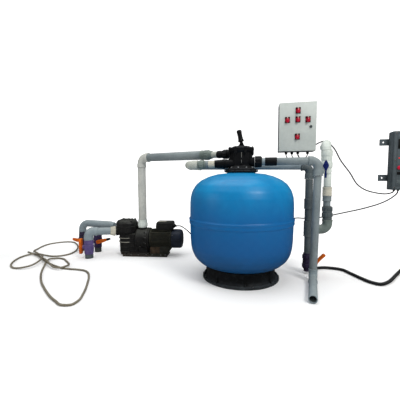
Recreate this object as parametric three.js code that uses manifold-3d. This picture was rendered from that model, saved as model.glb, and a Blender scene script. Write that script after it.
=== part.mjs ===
// Pool water-treatment plant: sand filter with multiport valve, circulation pump,
// suction manifold, return and waste pipework, starter cabinet and chlorinator power unit.
// Units: millimetres. +Z up, X along the wall, +Y towards the wall, so the front is -Y.
// Origin: filter tank axis at floor level.
import * as THREE from "three";
import { mergeVertices } from "three/addons/utils/BufferGeometryUtils.js";
import Module from "manifold-3d";

const wasm = await Module();
wasm.setup();

// ---- driving dimensions ----
const TANK_R = 375;             // filter shell radius
const BASE_R = 281;             // stand flange radius
const VALVE_R = 80;             // multiport valve body radius
const PIPE_63_R = 31.5;         // 63 mm pipe
const PIPE_50_R = 25;           // 50 mm pipe
const PUMP_PIPE_R = 36;         // pump discharge pipe
const PORT_GAP = 0.4;           // gap between the pump port and its tail
const SEAM = 0.5;               // gap between neighbouring pipe pieces
const WALL_Y = 650;             // wall plane behind the plant

// return line: front branch off the valve, then a run behind the valve to the drop
const FRONT_Y = -30, FRONT_Z = 836;
const RETURN_Y = 150, RETURN_Z = 833;
const RETURN_LEFT_X = -394, DROP_X = 499;
const DROP_TOP_Z = 728;         // foot of the elbow above the drop
const TEE_Z = 350, TEE_TOP_Z = TEE_Z + 60;
const DRAIN_BOTTOM_Z = 22, DRAIN_TOP_Z = 163;

// isolating riser to the wall
const RISER_X = 634;
const RISER_PIPE_X = RISER_X - 7, RISER_VALVE_X = RISER_X - 17;

// waste line; the drop leans from its top to its foot
const WASTE_Y = -20, WASTE_Z = 853;
const WASTE_TOP_X = 525, WASTE_FOOT_X = 512, WASTE_FOOT_Y = WASTE_Y - 2;
const WASTE_END = [446, -396, 28];

// pump discharge line
const PUMP_LINE_Z = 934;
const PUMP_PORT = [-101, 55, 918];
const PUMP_RISER = [-963.15, 414.77, PUMP_LINE_Z];

// pump, standing on its strainer axis
const PUMP_ORIGIN = [-1116, 396, 0];
const PUMP_YAW = 7 * Math.PI / 180;
const SHAFT_Z = 164;
const LEVER_LEAN = 12 * Math.PI / 180;

// suction manifold
const SUCTION_Z = 238;
const SUCTION_ELBOW = [-1411, 205, SUCTION_Z + 12];
const SIDE_VALVE = [-1460, 430];
const REAR_VALVE = [-1640, 446];
const REAR_Z = 286;

// starter cabinet; switch and lock places are [x, z] on the door
const CABINET = { x0: 297, x1: 606, z0: 973, z1: 1391, y0: 505, door: 15, wall: 12 };
const SWITCHES = [[453, 1318], [366, 1241], [453, 1242], [536, 1239], [451, 1095]];
const LOCK = [561, 1179];

// chlorinator power unit
const UNIT = { x0: 1222, x1: 1600, z0: 634, z1: 1126, y0: 556, cover: 20 };

// ---- finishes ----
const BLACK = 0x16171a, WHITE = 0xe6e4dc;
const FINISH = {
  blackMatt: { color: BLACK, roughness: 0.7 },
  blackDull: { color: BLACK, roughness: 0.6 },
  blackSatin: { color: BLACK, roughness: 0.55 },
  black: { color: BLACK, roughness: 0.5 },
  blackSmooth: { color: BLACK, roughness: 0.45 },
  blackGloss: { color: BLACK, roughness: 0.4 },
  tankBlue: { color: 0x0a76b4, roughness: 0.25 },
  pipeGrey: { color: 0x8d9094, roughness: 0.5 },
  greenGrey: { color: 0x7f8c84, roughness: 0.5 },
  paleGrey: { color: 0x9aa19c, roughness: 0.5 },
  darkGrey: { color: 0x5c6064, roughness: 0.5 },
  blueGrey: { color: 0x7e868f, roughness: 0.5 },
  white: { color: WHITE, roughness: 0.5 },
  whiteSmooth: { color: WHITE, roughness: 0.45 },
  purple: { color: 0x3a2f4a, roughness: 0.4 },
  orange: { color: 0xe0581c, roughness: 0.35 },
  leverBlue: { color: 0x2b4f8c, roughness: 0.4 },
  motor: { color: 0x2a2724, roughness: 0.55, metalness: 0.2 },
  fan: { color: 0x33363a, roughness: 0.5 },
  cabinetBox: { color: 0xd4d8d6, roughness: 0.45 },
  cabinetDoor: { color: 0xd9ddda, roughness: 0.4 },
  switchRed: { color: 0xb8202a, roughness: 0.35 },
  lock: { color: 0x50545a, roughness: 0.3, metalness: 0.7 },
  unitCase: { color: 0x5a6164, roughness: 0.5, metalness: 0.3 },
  unitCover: { color: 0x5f6669, roughness: 0.5, metalness: 0.3 },
  display: { color: 0x15181c, roughness: 0.15 },
  buttonRed: { color: 0xa01420, roughness: 0.35 },
  cable: { color: 0x1a1a1c, roughness: 0.6 },
  drainHose: { color: 0x17181a, roughness: 0.6 },
  clearHose: { color: 0xb9b3a0, roughness: 0.4 },
};

// ---- helpers ----
const group = new THREE.Group();
const FACET_DENSITY = 0.72;     // thins round sections of 10 sides or more, to an even count
const facets = (n) => (n < 10 ? n : 2 * Math.round(n * FACET_DENSITY / 2));
const vec = (point) => new THREE.Vector3(...point);
const direction = (from, to) => vec(to).sub(vec(from)).normalize();
// point at a distance from start along a unit direction
const pointAt = (start, dir, distance) => vec(start).addScaledVector(dir, distance).toArray();

function add(name, geometry, finish, parent = group) {
  const mesh = new THREE.Mesh(geometry, new THREE.MeshStandardMaterial(finish));
  mesh.name = name;
  parent.add(mesh);
}

// welded solid; inside-out triangles are flipped, found by the sign of the volume
function toManifold(geometry) {
  const bare = geometry.clone();
  bare.deleteAttribute("normal");
  if (bare.attributes.uv) bare.deleteAttribute("uv");
  const welded = mergeVertices(bare, 1e-4);
  const tris = new Uint32Array(welded.index.array);
  const pos = new Float32Array(welded.attributes.position.array);
  let volume = 0;
  for (let i = 0; i < tris.length; i += 3) {
    const a = tris[i] * 3, b = tris[i + 1] * 3, c = tris[i + 2] * 3;
    volume += pos[a] * (pos[b + 1] * pos[c + 2] - pos[b + 2] * pos[c + 1])
      - pos[a + 1] * (pos[b] * pos[c + 2] - pos[b + 2] * pos[c])
      + pos[a + 2] * (pos[b] * pos[c + 1] - pos[b + 1] * pos[c]);
  }
  if (volume < 0) {
    for (let i = 0; i < tris.length; i += 3) {
      [tris[i], tris[i + 1]] = [tris[i + 1], tris[i]];
    }
  }
  return new wasm.Manifold(new wasm.Mesh({ numProp: 3, vertProperties: pos, triVerts: tris }));
}
function fromManifold(solid) {
  const mesh = solid.getMesh();
  const geometry = new THREE.BufferGeometry();
  const positions = new Float32Array(mesh.vertProperties);
  geometry.setAttribute("position", new THREE.BufferAttribute(positions, 3));
  geometry.setIndex(new THREE.BufferAttribute(new Uint32Array(mesh.triVerts), 1));
  geometry.computeVertexNormals();
  return geometry;
}
function join(first, ...others) {
  return fromManifold(others.reduce((sum, g) => sum.add(toManifold(g)), toManifold(first)));
}
function cut(base, ...tools) {
  return fromManifold(tools.reduce((rest, g) => rest.subtract(toManifold(g)), toManifold(base)));
}

// turned body about +Z; profile is [radius, z] pairs
function turned(profile, sides) {
  const points = profile.map(([r, z]) => new THREE.Vector2(r, z));
  return new THREE.LatheGeometry(points, facets(sides)).rotateX(Math.PI / 2);
}
const turnedAt = ([x, y], sides, profile) => turned(profile, sides).translate(x, y, 0);
// turned body from start along a unit direction; profile is [radius, distance] pairs
function turnedAlong(start, dir, sides, profile) {
  const geometry = turned(profile, sides);
  geometry.applyQuaternion(new THREE.Quaternion().setFromUnitVectors(vec([0, 0, 1]), dir));
  return geometry.translate(...start);
}
// cylinder or cone between two points
function rod(from, to, radius, sides, endRadius = radius) {
  const length = vec(to).distanceTo(vec(from));
  const geometry = new THREE.CylinderGeometry(endRadius, radius, length, facets(sides));
  const up = vec([0, 1, 0]);
  geometry.applyQuaternion(new THREE.Quaternion().setFromUnitVectors(up, direction(from, to)));
  return geometry.translate(...vec(from).add(vec(to)).multiplyScalar(0.5).toArray());
}
const rodX = (x0, x1, y, z, radius, sides) => rod([x0, y, z], [x1, y, z], radius, sides);
const rodY = ([x, z], y0, y1, radius, sides) => rod([x, y0, z], [x, y1, z], radius, sides);
const rodZ = ([x, y], z0, z1, radius, sides) => rod([x, y, z0], [x, y, z1], radius, sides);
// upright studs on a circle about Z, the first half a pitch round from +X
function studs(count, circleR, z0, z1, radius) {
  return Array.from({ length: count }, (_, i) => {
    const angle = (i + 0.5) * 2 * Math.PI / count;
    return rodZ([circleR * Math.cos(angle), circleR * Math.sin(angle)], z0, z1, radius, 8);
  });
}
function box(x0, x1, y0, y1, z0, z1) {
  const geometry = new THREE.BoxGeometry(x1 - x0, y1 - y0, z1 - z0);
  return geometry.translate((x0 + x1) / 2, (y0 + y1) / 2, (z0 + z1) / 2);
}
function closedShape(points) {
  const shape = new THREE.Shape();
  shape.moveTo(...points[0]);
  for (const point of points.slice(1)) shape.lineTo(...point);
  shape.closePath();
  return shape;
}
// plate from [x, z] points, with its thickness from y = 0 towards -Y
function plate(points, depth) {
  const geometry = new THREE.ExtrudeGeometry(closedShape(points), { depth, bevelEnabled: false });
  return geometry.rotateX(Math.PI / 2);
}
// closed sweep of a round section along a curve
function sweep(curve, radius, steps, sides) {
  const count = facets(sides);
  const section = closedShape(Array.from({ length: count }, (_, i) => {
    const angle = (i / count) * Math.PI * 2;
    return [radius * Math.cos(angle), radius * Math.sin(angle)];
  }));
  return new THREE.ExtrudeGeometry(section, {
    steps, extrudePath: curve, bevelEnabled: false, curveSegments: 1,
  });
}
// pipe along a polyline; each corner is cut back by its setback and rounded
function elbow(points, setback, radius, steps, sides) {
  const corners = points.map(vec);
  const path = new THREE.CurvePath();
  let last = corners[0];
  for (let i = 1; i < corners.length - 1; i++) {
    const length = Array.isArray(setback) ? setback[i - 1] : setback;
    const back = corners[i - 1].clone().sub(corners[i]).normalize();
    const ahead = corners[i + 1].clone().sub(corners[i]).normalize();
    const bendStart = corners[i].clone().addScaledVector(back, length);
    const bendEnd = corners[i].clone().addScaledVector(ahead, length);
    path.add(new THREE.LineCurve3(last, bendStart));
    path.add(new THREE.QuadraticBezierCurve3(bendStart, corners[i], bendEnd));
    last = bendEnd;
  }
  path.add(new THREE.LineCurve3(last, corners.at(-1)));
  return sweep(path, radius, steps, sides);
}
function cable(points, radius, steps, sides) {
  const curve = new THREE.CatmullRomCurve3(points.map(vec), false, "centripetal");
  return sweep(curve, radius, steps, sides);
}

// ---- filter tank ----
add("tank_shell", turned([
  [0, 76], [150, 80], [240, 98], [298, 120], [336, 156], [358, 199], [368, 242], [373, 300],
  [TANK_R, 404], [TANK_R + 6, 412], [TANK_R + 7, 430], [TANK_R + 7, 444], [TANK_R, 452],
  [TANK_R, 512], [374, 560], [370, 602], [357, 647], [328, 692], [290, 722], [235, 748],
  [170, 766], [118, 771], [104, 773], [99, 776], [99, 790], [0, 790],
], 30), FINISH.tankBlue);
add("tank_base", turned([
  [0, 0], [BASE_R, 0], [BASE_R, 14], [266, 22], [255, 40], [250, 99],
  [234, 95], [232, 88], [232, 8], [0, 8],
], 28), FINISH.blackMatt);
add("neck_clamp", join(
  turned([
    [100.6, 776.6], [106, 776.6], [109, 782], [109, 800], [105, 804], [100.6, 804],
    [100.6, 776.6],
  ], 24),
  box(-120, -103, -16, 16, 780, 802),
  box(103, 122, -16, 16, 780, 802),
), FINISH.blackDull);

// ---- multiport valve ----
// pump line axis, from the valve port to the pump riser
const pumpLineDir = direction(PUMP_PORT, PUMP_RISER);
const pumpLineLength = vec(PUMP_RISER).distanceTo(vec(PUMP_PORT));
const pumpLineAt = (distance) => pointAt(PUMP_PORT, pumpLineDir, distance);

add("valve_body", join(
  turned([
    [0, 790.5], [97, 790.5], [97, 810], [88, 814], [VALVE_R - 6, 826], [VALVE_R, 850],
    [VALVE_R, 924], [90, 931], [90, 938.5], [0, 938.5],
  ], 24),
  rodX(0, 98, WASTE_Y, WASTE_Z, 33, 16),
  rod([0, FRONT_Y, FRONT_Z + 6], [-112, FRONT_Y, FRONT_Z + 6], 32, 16, 30),
  rod(pumpLineAt(-110), pumpLineAt(0), 20, 16),
), FINISH.blackSatin);
add("valve_lid", join(
  turned([[0, 939], [92, 939], [92, 949], [86, 955], [56, 965], [24, 968], [0, 968]], 24),
  ...studs(8, 87, 939, 957, 9.5),
), FINISH.blackSatin);
add("valve_hub", join(
  turned([[0, 968.4], [26, 968.4], [26, 971], [20, 975], [0, 975]], 16),
  box(-8, 12, -16, -10.5, 972, 994),
  box(-8, 12, 10.5, 16, 972, 994),
), FINISH.black);

// the lever stands in the hub fork and leans towards -X
const leverFrame = new THREE.Group();
leverFrame.position.set(2, 0, 986);
leverFrame.rotation.set(0, -LEVER_LEAN, 0);
group.add(leverFrame);
add("valve_lever", join(
  rodY([0, 0], -9.8, 9.8, 10, 12),
  turned([
    [0, 2], [9.6, 2], [9.6, 14], [19.5, 15.5], [21, 22], [17.5, 34], [16.5, 52],
    [17, 74], [18.5, 86], [15, 98], [0, 102],
  ], 12),
), FINISH.blackSmooth, leverFrame);

// ---- pump discharge line ----
const PUMP_PIPE_START = 242;    // distance from the valve port
const PUMP_PIPE_SHORT = 96;     // the pipe ends this far before the riser axis
const pumpPipeLength = pumpLineLength - PUMP_PIPE_START - PUMP_PIPE_SHORT;
const onPumpLine = (distance, sides, profile) =>
  turnedAlong(pumpLineAt(distance), pumpLineDir, sides, profile);

add("pump_line_port_tail", onPumpLine(PORT_GAP, 14, [
  [0, 0], [34, 0], [34, 38], [27.5, 42], [27.5, 92], [PIPE_50_R, 93], [PIPE_50_R, 140], [0, 140],
]), FINISH.blackSatin);
add("pump_line_union", onPumpLine(140.5, 16, [
  [0, 0], [28, 0], [33, 26], [38, 30], [38, 62], [37, 66], [37, 101], [0, 101],
]), FINISH.greenGrey);
add("pump_line_pipe", onPumpLine(PUMP_PIPE_START, 18, [
  [0, 0], [PUMP_PIPE_R, 0], [PUMP_PIPE_R, pumpPipeLength], [0, pumpPipeLength],
]), FINISH.pipeGrey);
add("pump_riser", join(
  elbow([
    pumpLineAt(pumpLineLength - PUMP_PIPE_SHORT + SEAM),
    PUMP_RISER,
    [PUMP_RISER[0], PUMP_RISER[1], PUMP_LINE_Z - 92],
  ], 62, PUMP_PIPE_R + 6, 9, 12),
  rodZ(PUMP_RISER, 344, PUMP_LINE_Z - 91, PUMP_PIPE_R + 2, 18),
), FINISH.pipeGrey);

// ---- return line ----
const RETURN_RUN_X0 = -330;     // end of the left bend
const DROP = [DROP_X, RETURN_Y];
const RETURN_TAIL = [-112.5, FRONT_Y, FRONT_Z + 5];
// the tail slopes slightly down from the valve
const returnTailDir = direction(RETURN_TAIL, [-400, FRONT_Y, FRONT_Z + 1]);

add("return_port_tail", turnedAlong(RETURN_TAIL, returnTailDir, 14, [
  [0, 0], [31, 0], [31, 44], [28, 82], [PIPE_50_R, 83], [PIPE_50_R, 145.5], [0, 145.5],
]), FINISH.black);
add("return_front_union", turnedAlong([-259, FRONT_Y, FRONT_Z], vec([-1, 0, 0]), 16, [
  [0, 0], [29, 0], [29, 8], [34, 12], [34, 44], [30, 48], [30, 58], [0, 58],
]), FINISH.paleGrey);
add("return_left_bend", elbow([
  [-317.5, FRONT_Y, FRONT_Z], [RETURN_LEFT_X, FRONT_Y, FRONT_Z],
  [RETURN_LEFT_X, RETURN_Y, RETURN_Z], [RETURN_RUN_X0, RETURN_Y, RETURN_Z],
], 44, PIPE_63_R, 20, 12), FINISH.pipeGrey);
add("return_run_pipe", rod(
  [RETURN_RUN_X0 + SEAM, RETURN_Y, RETURN_Z], [DROP_X - 62, RETURN_Y, RETURN_Z - 8],
  PIPE_50_R + 2, 16,
), FINISH.pipeGrey);
add("return_drop_elbow", elbow([
  [DROP_X - 62 + SEAM, RETURN_Y, RETURN_Z - 10], [...DROP, RETURN_Z - 10],
  [...DROP, DROP_TOP_Z],
], 48, PIPE_63_R + 1, 9, 12), FINISH.pipeGrey);
add("return_drop_pipe", turnedAt(DROP, 16, [
  [0, TEE_TOP_Z], [PIPE_50_R + 2, TEE_TOP_Z], [PIPE_50_R + 2, 504], [34, 504], [34, 580],
  [PIPE_50_R + 2, 580], [PIPE_50_R + 2, DROP_TOP_Z - SEAM], [0, DROP_TOP_Z - SEAM],
]), FINISH.pipeGrey);
add("return_tee", join(
  turnedAt(DROP, 16, [
    [0, DRAIN_TOP_Z], [PIPE_50_R, DRAIN_TOP_Z], [PIPE_50_R, TEE_Z - 58], [33, TEE_Z - 58],
    [33, TEE_TOP_Z - SEAM], [0, TEE_TOP_Z - SEAM],
  ]),
  rodX(DROP_X, DROP_X + 62, RETURN_Y, TEE_Z, 30, 16),
), FINISH.pipeGrey);

// drain valve on the foot of the return drop, with its stem to +X
const DRAIN_STEM_Z = 100;
add("drain_valve_body", join(
  turnedAt(DROP, 16, [
    [0, DRAIN_BOTTOM_Z], [22, DRAIN_BOTTOM_Z], [24, 40], [36, 52], [36, 84], [30, 90],
    [30, 112], [36, 118], [36, DRAIN_TOP_Z - SEAM], [0, DRAIN_TOP_Z - SEAM],
  ]),
  rodX(DROP_X, DROP_X + 46, RETURN_Y, DRAIN_STEM_Z, 17, 12),
), FINISH.purple);
add("drain_valve_lever", join(
  rodX(DROP_X + 46.6, DROP_X + 66, RETURN_Y, DRAIN_STEM_Z, 15, 12),
  rod([DROP_X + 62, RETURN_Y - 4, 90], [DROP_X + 117, RETURN_Y - 27, 163], 12, 10),
), FINISH.orange);

// ---- isolating riser to the wall ----
const RISER_STEM_Z = 834;
const RISER_STEM_END = [RISER_X - 30, RETURN_Y - 48.3, RISER_STEM_Z];

add("riser_foot", join(
  elbow([
    [DROP_X + 62.5, RETURN_Y, TEE_Z], [RISER_X, RETURN_Y, TEE_Z], [RISER_X, RETURN_Y, 426],
  ], 48, 36, 9, 12),
  turnedAt([RISER_X, RETURN_Y], 16, [
    [0, 424.5], [33, 424.5], [33, 440], [39, 446], [39, 474], [35, 478], [35, 486],
    [39, 490], [39, 520], [32, 526], [0, 526],
  ]),
), FINISH.darkGrey);
add("riser_pipe", turnedAt([RISER_PIPE_X, RETURN_Y], 16, [
  [0, 526.5], [PIPE_50_R, 526.5], [PIPE_50_R, 563], [32, 563], [32, 603], [33, 603],
  [33, 668], [PIPE_50_R, 672], [PIPE_50_R, 700], [PIPE_50_R, 766], [0, 766],
]), FINISH.white);
add("riser_valve_body", join(
  turnedAt([RISER_VALVE_X, RETURN_Y], 16, [
    [0, 766.5], [34, 766.5], [36, 774], [36, 800], [40, 806], [40, 856], [36, 862],
    [36, 892], [39, 896], [39, 938], [0, 938],
  ]),
  rod([RISER_VALVE_X, RETURN_Y, RISER_STEM_Z], RISER_STEM_END, 16, 12),
), FINISH.whiteSmooth);
add("riser_valve_lever", join(
  rod(
    [RISER_X - 30.16, RETURN_Y - 48.9, RISER_STEM_Z],
    [RISER_X - 34.6, RETURN_Y - 65.4, RISER_STEM_Z], 17, 12,
  ),
  // flat blade square to the stem, hanging down
  plate([[0, 40], [20, 0], [7, -30], [6, -88], [-6, -88], [-7, -30], [-20, 0]], 14)
    .rotateZ(-Math.atan2(0.26, 0.966))
    .translate(RISER_X - 33.6, RETURN_Y - 61.7, 824),
), FINISH.leverBlue);
{
  // the outlet leaves the top elbow slightly across and up to the wall
  const corner = [RISER_X - 21, RETURN_Y, 984];
  const wallPoint = [RISER_X + 74, WALL_Y, 1012];
  const outletDir = direction(corner, wallPoint);
  const elbowEnd = pointAt(corner, outletDir, 72);
  const pipeStart = pointAt(corner, outletDir, 70);
  const pipeEnd = pointAt(wallPoint, outletDir, 40);   // trimmed back to the wall plane
  add("riser_outlet", cut(
    join(
      elbow([[corner[0], RETURN_Y, 938.5], corner, elbowEnd], 38, 33, 9, 12),
      rod(pipeStart, pipeEnd, PIPE_50_R + 1, 16),
    ),
    box(wallPoint[0] - 80, wallPoint[0] + 80, WALL_Y, WALL_Y + 90, 900, 1130),
  ), FINISH.pipeGrey);
}

// ---- waste line ----
const WASTE_PIPE_R = PIPE_50_R + 1;
const [endX, endY, endZ] = WASTE_END;

add("waste_port_tail", turnedAlong([98.5, WASTE_Y, WASTE_Z], vec([1, 0, 0]), 14, [
  [0, 0], [39, 0], [39, 46], [26, 50], [26, 70], [29.5, 72], [29.5, 152], [0, 152],
]), FINISH.blackSatin);
add("waste_pipe", join(
  rodX(251, WASTE_TOP_X - 62, WASTE_Y, WASTE_Z, WASTE_PIPE_R, 16),
  elbow([
    [WASTE_TOP_X - 63.5, WASTE_Y, WASTE_Z], [WASTE_TOP_X + 2, WASTE_Y, WASTE_Z],
    [WASTE_TOP_X, WASTE_Y, WASTE_Z - 104],
  ], 50, 32, 9, 12),
), FINISH.pipeGrey);
add("waste_drop_pipe", rod(
  [WASTE_FOOT_X, WASTE_FOOT_Y, 96.6], [WASTE_TOP_X, WASTE_Y, WASTE_Z - 105.2],
  WASTE_PIPE_R, 16,
), FINISH.pipeGrey);
add("waste_outlet_pipe", cut(
  join(
    elbow([
      [WASTE_FOOT_X, WASTE_FOOT_Y, 95.5], [WASTE_FOOT_X, WASTE_FOOT_Y, 30],
      [WASTE_FOOT_X - 14, WASTE_Y - 84, 30],
    ], 44, 29.6, 9, 12),
    rod([WASTE_FOOT_X - 13.9, WASTE_Y - 83, 30], WASTE_END, WASTE_PIPE_R, 18),
  ),
  // blind bore in the open end
  rod([endX + 26, endY + 149, 28.9], [endX - 1.2, endY - 7, endZ], 21, 18),
), FINISH.blueGrey);

// ---- circulation pump (own frame: +X from strainer to motor) ----
const PORT_X = 154;             // discharge port axis
const MOTOR_X = 232.5;          // joint between pump and motor
const pump = new THREE.Group();
pump.position.set(...PUMP_ORIGIN);
pump.rotation.set(0, 0, PUMP_YAW);
group.add(pump);

// the inlet boss is turned to face the suction elbow
const inletTurn = Math.atan2(
  PUMP_ORIGIN[1] - SUCTION_ELBOW[1], PUMP_ORIGIN[0] - SUCTION_ELBOW[0],
) - PUMP_YAW;
const inletAt = (reach) =>
  [-reach * Math.cos(inletTurn), -reach * Math.sin(inletTurn), SUCTION_Z];
const INLET_REACH = 108;

add("pump_body", join(
  turned([
    [0, 8], [64, 8], [72, 60], [74, 128], [79, 132], [79, 138], [74, 142], [74, 168],
    [79, 172], [79, 178], [74, 182], [75, 212], [97, 224], [103, 233], [103, 282],
    [100, 288], [0, 288],
  ], 22),
  box(26, 130, -68, 68, 14, 218),
  rodX(92, 200, 0, SHAFT_Z - 4, 99, 22),
  rodX(199, 232, 0, SHAFT_Z - 4, 106, 22),
  rodZ([PORT_X, 0], 160, 270.5, 42, 16),
  rod(inletAt(INLET_REACH), inletAt(60), 44, 14),
  box(-22, 232, -86, 86, 0, 30),
  box(90, 215, -60, 60, 20, 90),
), FINISH.blackDull, pump);
add("pump_lid", join(
  turned([
    [0, 288.5], [101, 288.5], [103, 296], [102, 312], [95, 329], [79, 341], [46, 346], [0, 346],
  ], 22),
  ...studs(4, 84, 296, 343, 13),
), FINISH.black, pump);
add("pump_union", turnedAt([PORT_X, 0], 16, [
  [0, 271], [42, 271], [45, 278], [46.5, 284], [46.5, 312], [45, 316], [43, 320],
  [43, 343.5], [0, 343.5],
]), FINISH.white, pump);

// turned about the motor shaft; profile is [radius, x]
const onShaft = (sides, profile) =>
  turnedAlong([0, 0, SHAFT_Z], vec([1, 0, 0]), sides, profile);
{
  const FIN_PITCH = 32, FIN_WIDTH = 18, FIN_R = 94, GROOVE_R = 87;
  const profile = [[0, MOTOR_X], [90, MOTOR_X], [90, 246]];
  for (let x = 246; x < 410; x += FIN_PITCH) {
    profile.push([FIN_R, x], [FIN_R, x + FIN_WIDTH]);
    profile.push([GROOVE_R, x + FIN_WIDTH], [GROOVE_R, x + FIN_PITCH]);
  }
  profile.push([90, 438], [90, 444], [72, 444], [72, 456], [0, 456]);
  add("pump_motor", cut(
    join(
      onShaft(16, profile),
      box(MOTOR_X, 402, -82, 82, 0, 26),
      box(233, 345, -56, 56, 20, 90),
      plate([[320, 20], [402, 20], [443, 78], [443, 100], [336, 100]], 116).translate(0, 58, 0),
      box(310, 440, -44, 44, SHAFT_Z + 70, 258),
    ),
    rodX(440, 460, 0, SHAFT_Z, 14, 16),
  ), FINISH.motor, pump);
}
add("pump_terminal_box", join(
  box(295, 460, -62, 62, 258.6, 318),
  box(304, 452, -54, 54, 316, 332),
  rod([459, -20, 292], [486, -20, 287], 13, 10),
), FINISH.black, pump);
add("pump_fan", join(
  rodX(450, 490, 0, SHAFT_Z, 10, 14),
  rodX(466, 476, 0, SHAFT_Z, 60, 20),
  ...[0, 1, 2, 3, 4, 5].map((i) =>
    box(475, 492, -2, 2, 12, 60).rotateX(i * Math.PI / 3).translate(0, 0, SHAFT_Z)),
), FINISH.fan, pump);
add("pump_fan_cover", onShaft(18, [
  [75, 445], [88, 445], [90, 504], [88, 528], [75, 543], [20, 546], [20, 541],
  [73, 538], [83, 526], [85, 504], [83, 459], [75, 457], [75, 445],
]), FINISH.blackGloss, pump);

// ---- suction manifold ----
// world point from a point in the pump frame
function fromPump([x, y, z]) {
  const cos = Math.cos(PUMP_YAW), sin = Math.sin(PUMP_YAW);
  return [PUMP_ORIGIN[0] + x * cos - y * sin, PUMP_ORIGIN[1] + x * sin + y * cos, z];
}
const inlet = fromPump(inletAt(INLET_REACH));
const suctionDir = direction(inlet, SUCTION_ELBOW);
const suctionLength = vec(SUCTION_ELBOW).distanceTo(vec(inlet));
const suctionAt = (distance) => pointAt(inlet, suctionDir, distance);
const [frontX, frontY] = SUCTION_ELBOW;
const [sideX, sideY] = SIDE_VALVE;
const [rearX, rearY] = REAR_VALVE;
const FRONT_STEM_END = [frontX - 54, frontY - 10, 104];
const REAR_STEM_END = [rearX - 14, rearY - 54, 120];

// hub on the stem end plus a bar across it, tilted slightly outwards
function barLever(name, { stemEnd, stemDir, barDir, length, grip }) {
  const out = vec(stemDir).normalize();
  const bar = vec(barDir).normalize();
  const centre = pointAt(stemEnd, out, grip + 2);
  const barTip = pointAt(pointAt(centre, bar, length * 0.55), out, 8);
  add(name, join(
    rod(pointAt(stemEnd, out, 1.2), pointAt(stemEnd, out, 20), 17, 12),
    rod(pointAt(centre, bar, -length * 0.45), barTip, grip, 8, grip * 0.8),
  ), FINISH.orange);
}

add("suction_front_pipe", join(
  turnedAlong(suctionAt(3), suctionDir, 16, [
    [0, 0], [46, 0], [46, 14], [38, 46], [35, 50], [35, suctionLength - 75],
    [0, suctionLength - 75],
  ]),
  elbow(
    [suctionAt(suctionLength - 73.5), SUCTION_ELBOW, [frontX, frontY, 172]], 46, 41, 9, 12,
  ),
), FINISH.pipeGrey);
add("suction_front_valve", join(
  turnedAt(SUCTION_ELBOW, 18, [
    [0, 1], [36, 1], [36, 44], [41, 50], [41, 74], [45, 80], [45, 122], [42, 128],
    [42, 171.5], [0, 171.5],
  ]),
  rod([frontX, frontY, 104], FRONT_STEM_END, 20, 12),
), FINISH.purple);
barLever("suction_front_lever", {
  stemEnd: FRONT_STEM_END, stemDir: [-1, -0.18, 0], barDir: [0, 0, 1], length: 140, grip: 15,
});
add("suction_rear_pipe", elbow([
  [rearX, rearY, 196], [rearX, rearY, REAR_Z], [-1330, 452, REAR_Z - 6], [-1277, 441, 271],
], [70, 40], PIPE_63_R, 22, 12), FINISH.pipeGrey);
add("suction_side_valve", turnedAt(SIDE_VALVE, 18, [
  [0, 1], [PIPE_63_R, 1], [PIPE_63_R, 70], [38, 76], [38, 96], [43, 102], [43, 150],
  [38, 156], [38, 200], [28, 206], [28, REAR_Z - 36], [0, REAR_Z - 36],
]), FINISH.purple);
add("suction_side_lever", join(
  rod([sideX + 28, sideY - 41.5, 112], [sideX + 39, sideY - 60, 112], 16, 12),
  rod([sideX + 16, sideY - 60, 100], [sideX + 160, sideY - 52, 142], 12, 8, 9),
), FINISH.orange);
add("suction_rear_valve", join(
  turnedAt(REAR_VALVE, 18, [
    [0, 1], [PIPE_63_R, 1], [PIPE_63_R, 56], [38, 62], [38, 90], [43, 96], [43, 146],
    [38, 152], [38, 195.5], [0, 195.5],
  ]),
  rod([rearX, rearY, 120], REAR_STEM_END, 18, 12),
), FINISH.purple);
barLever("suction_rear_lever", {
  stemEnd: REAR_STEM_END, stemDir: [-0.25, -1, 0], barDir: [-0.97, 0.24, 0.1],
  length: 110, grip: 10,
});

// ---- control cabinet ----
{
  const { x0, x1, z0, z1, y0, door, wall } = CABINET;
  const glandXs = [367, 417, 468, 551];
  add("cabinet_box", join(
    cut(
      box(x0, x1, y0 + door, WALL_Y, z0, z1),
      box(x0 + wall, x1 - wall, y0 + door - 5, WALL_Y - wall, z0 + wall, z1 - wall),
    ),
    ...glandXs.map((x) => rodZ([x, 585], z0 - 22, z0 + 1, 12, 10)),
  ), FINISH.cabinetBox);
  add("cabinet_door", cut(
    box(x0, x1, y0, y0 + door - SEAM, z0, z1),
    ...[...SWITCHES, LOCK].map((place) => rodY(place, y0 - 4, y0 + 20, 9, 14)),
  ), FINISH.cabinetDoor);
  SWITCHES.forEach(([x, z], i) => {
    add(`cabinet_switch_${i + 1}`, join(
      rodY([x, z], y0 + 12, y0 - 6, 7, 12),
      rodY([x, z], y0 - SEAM, y0 - 12, 20, 16),
      box(x - 7, x + 7, y0 - 30, y0 - 8, z - 22, z + 22),
    ), FINISH.switchRed);
  });
  const [x, z] = LOCK;
  add("cabinet_lock", join(
    rodY(LOCK, y0 + 13, y0 - 3, 7, 12),
    rodY(LOCK, y0 - SEAM, y0 - 9, 13, 14),
    box(x - 2, x + 2, y0 - 14, y0 - 6, z - 10, z + 10),
  ), FINISH.lock);
}

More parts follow.
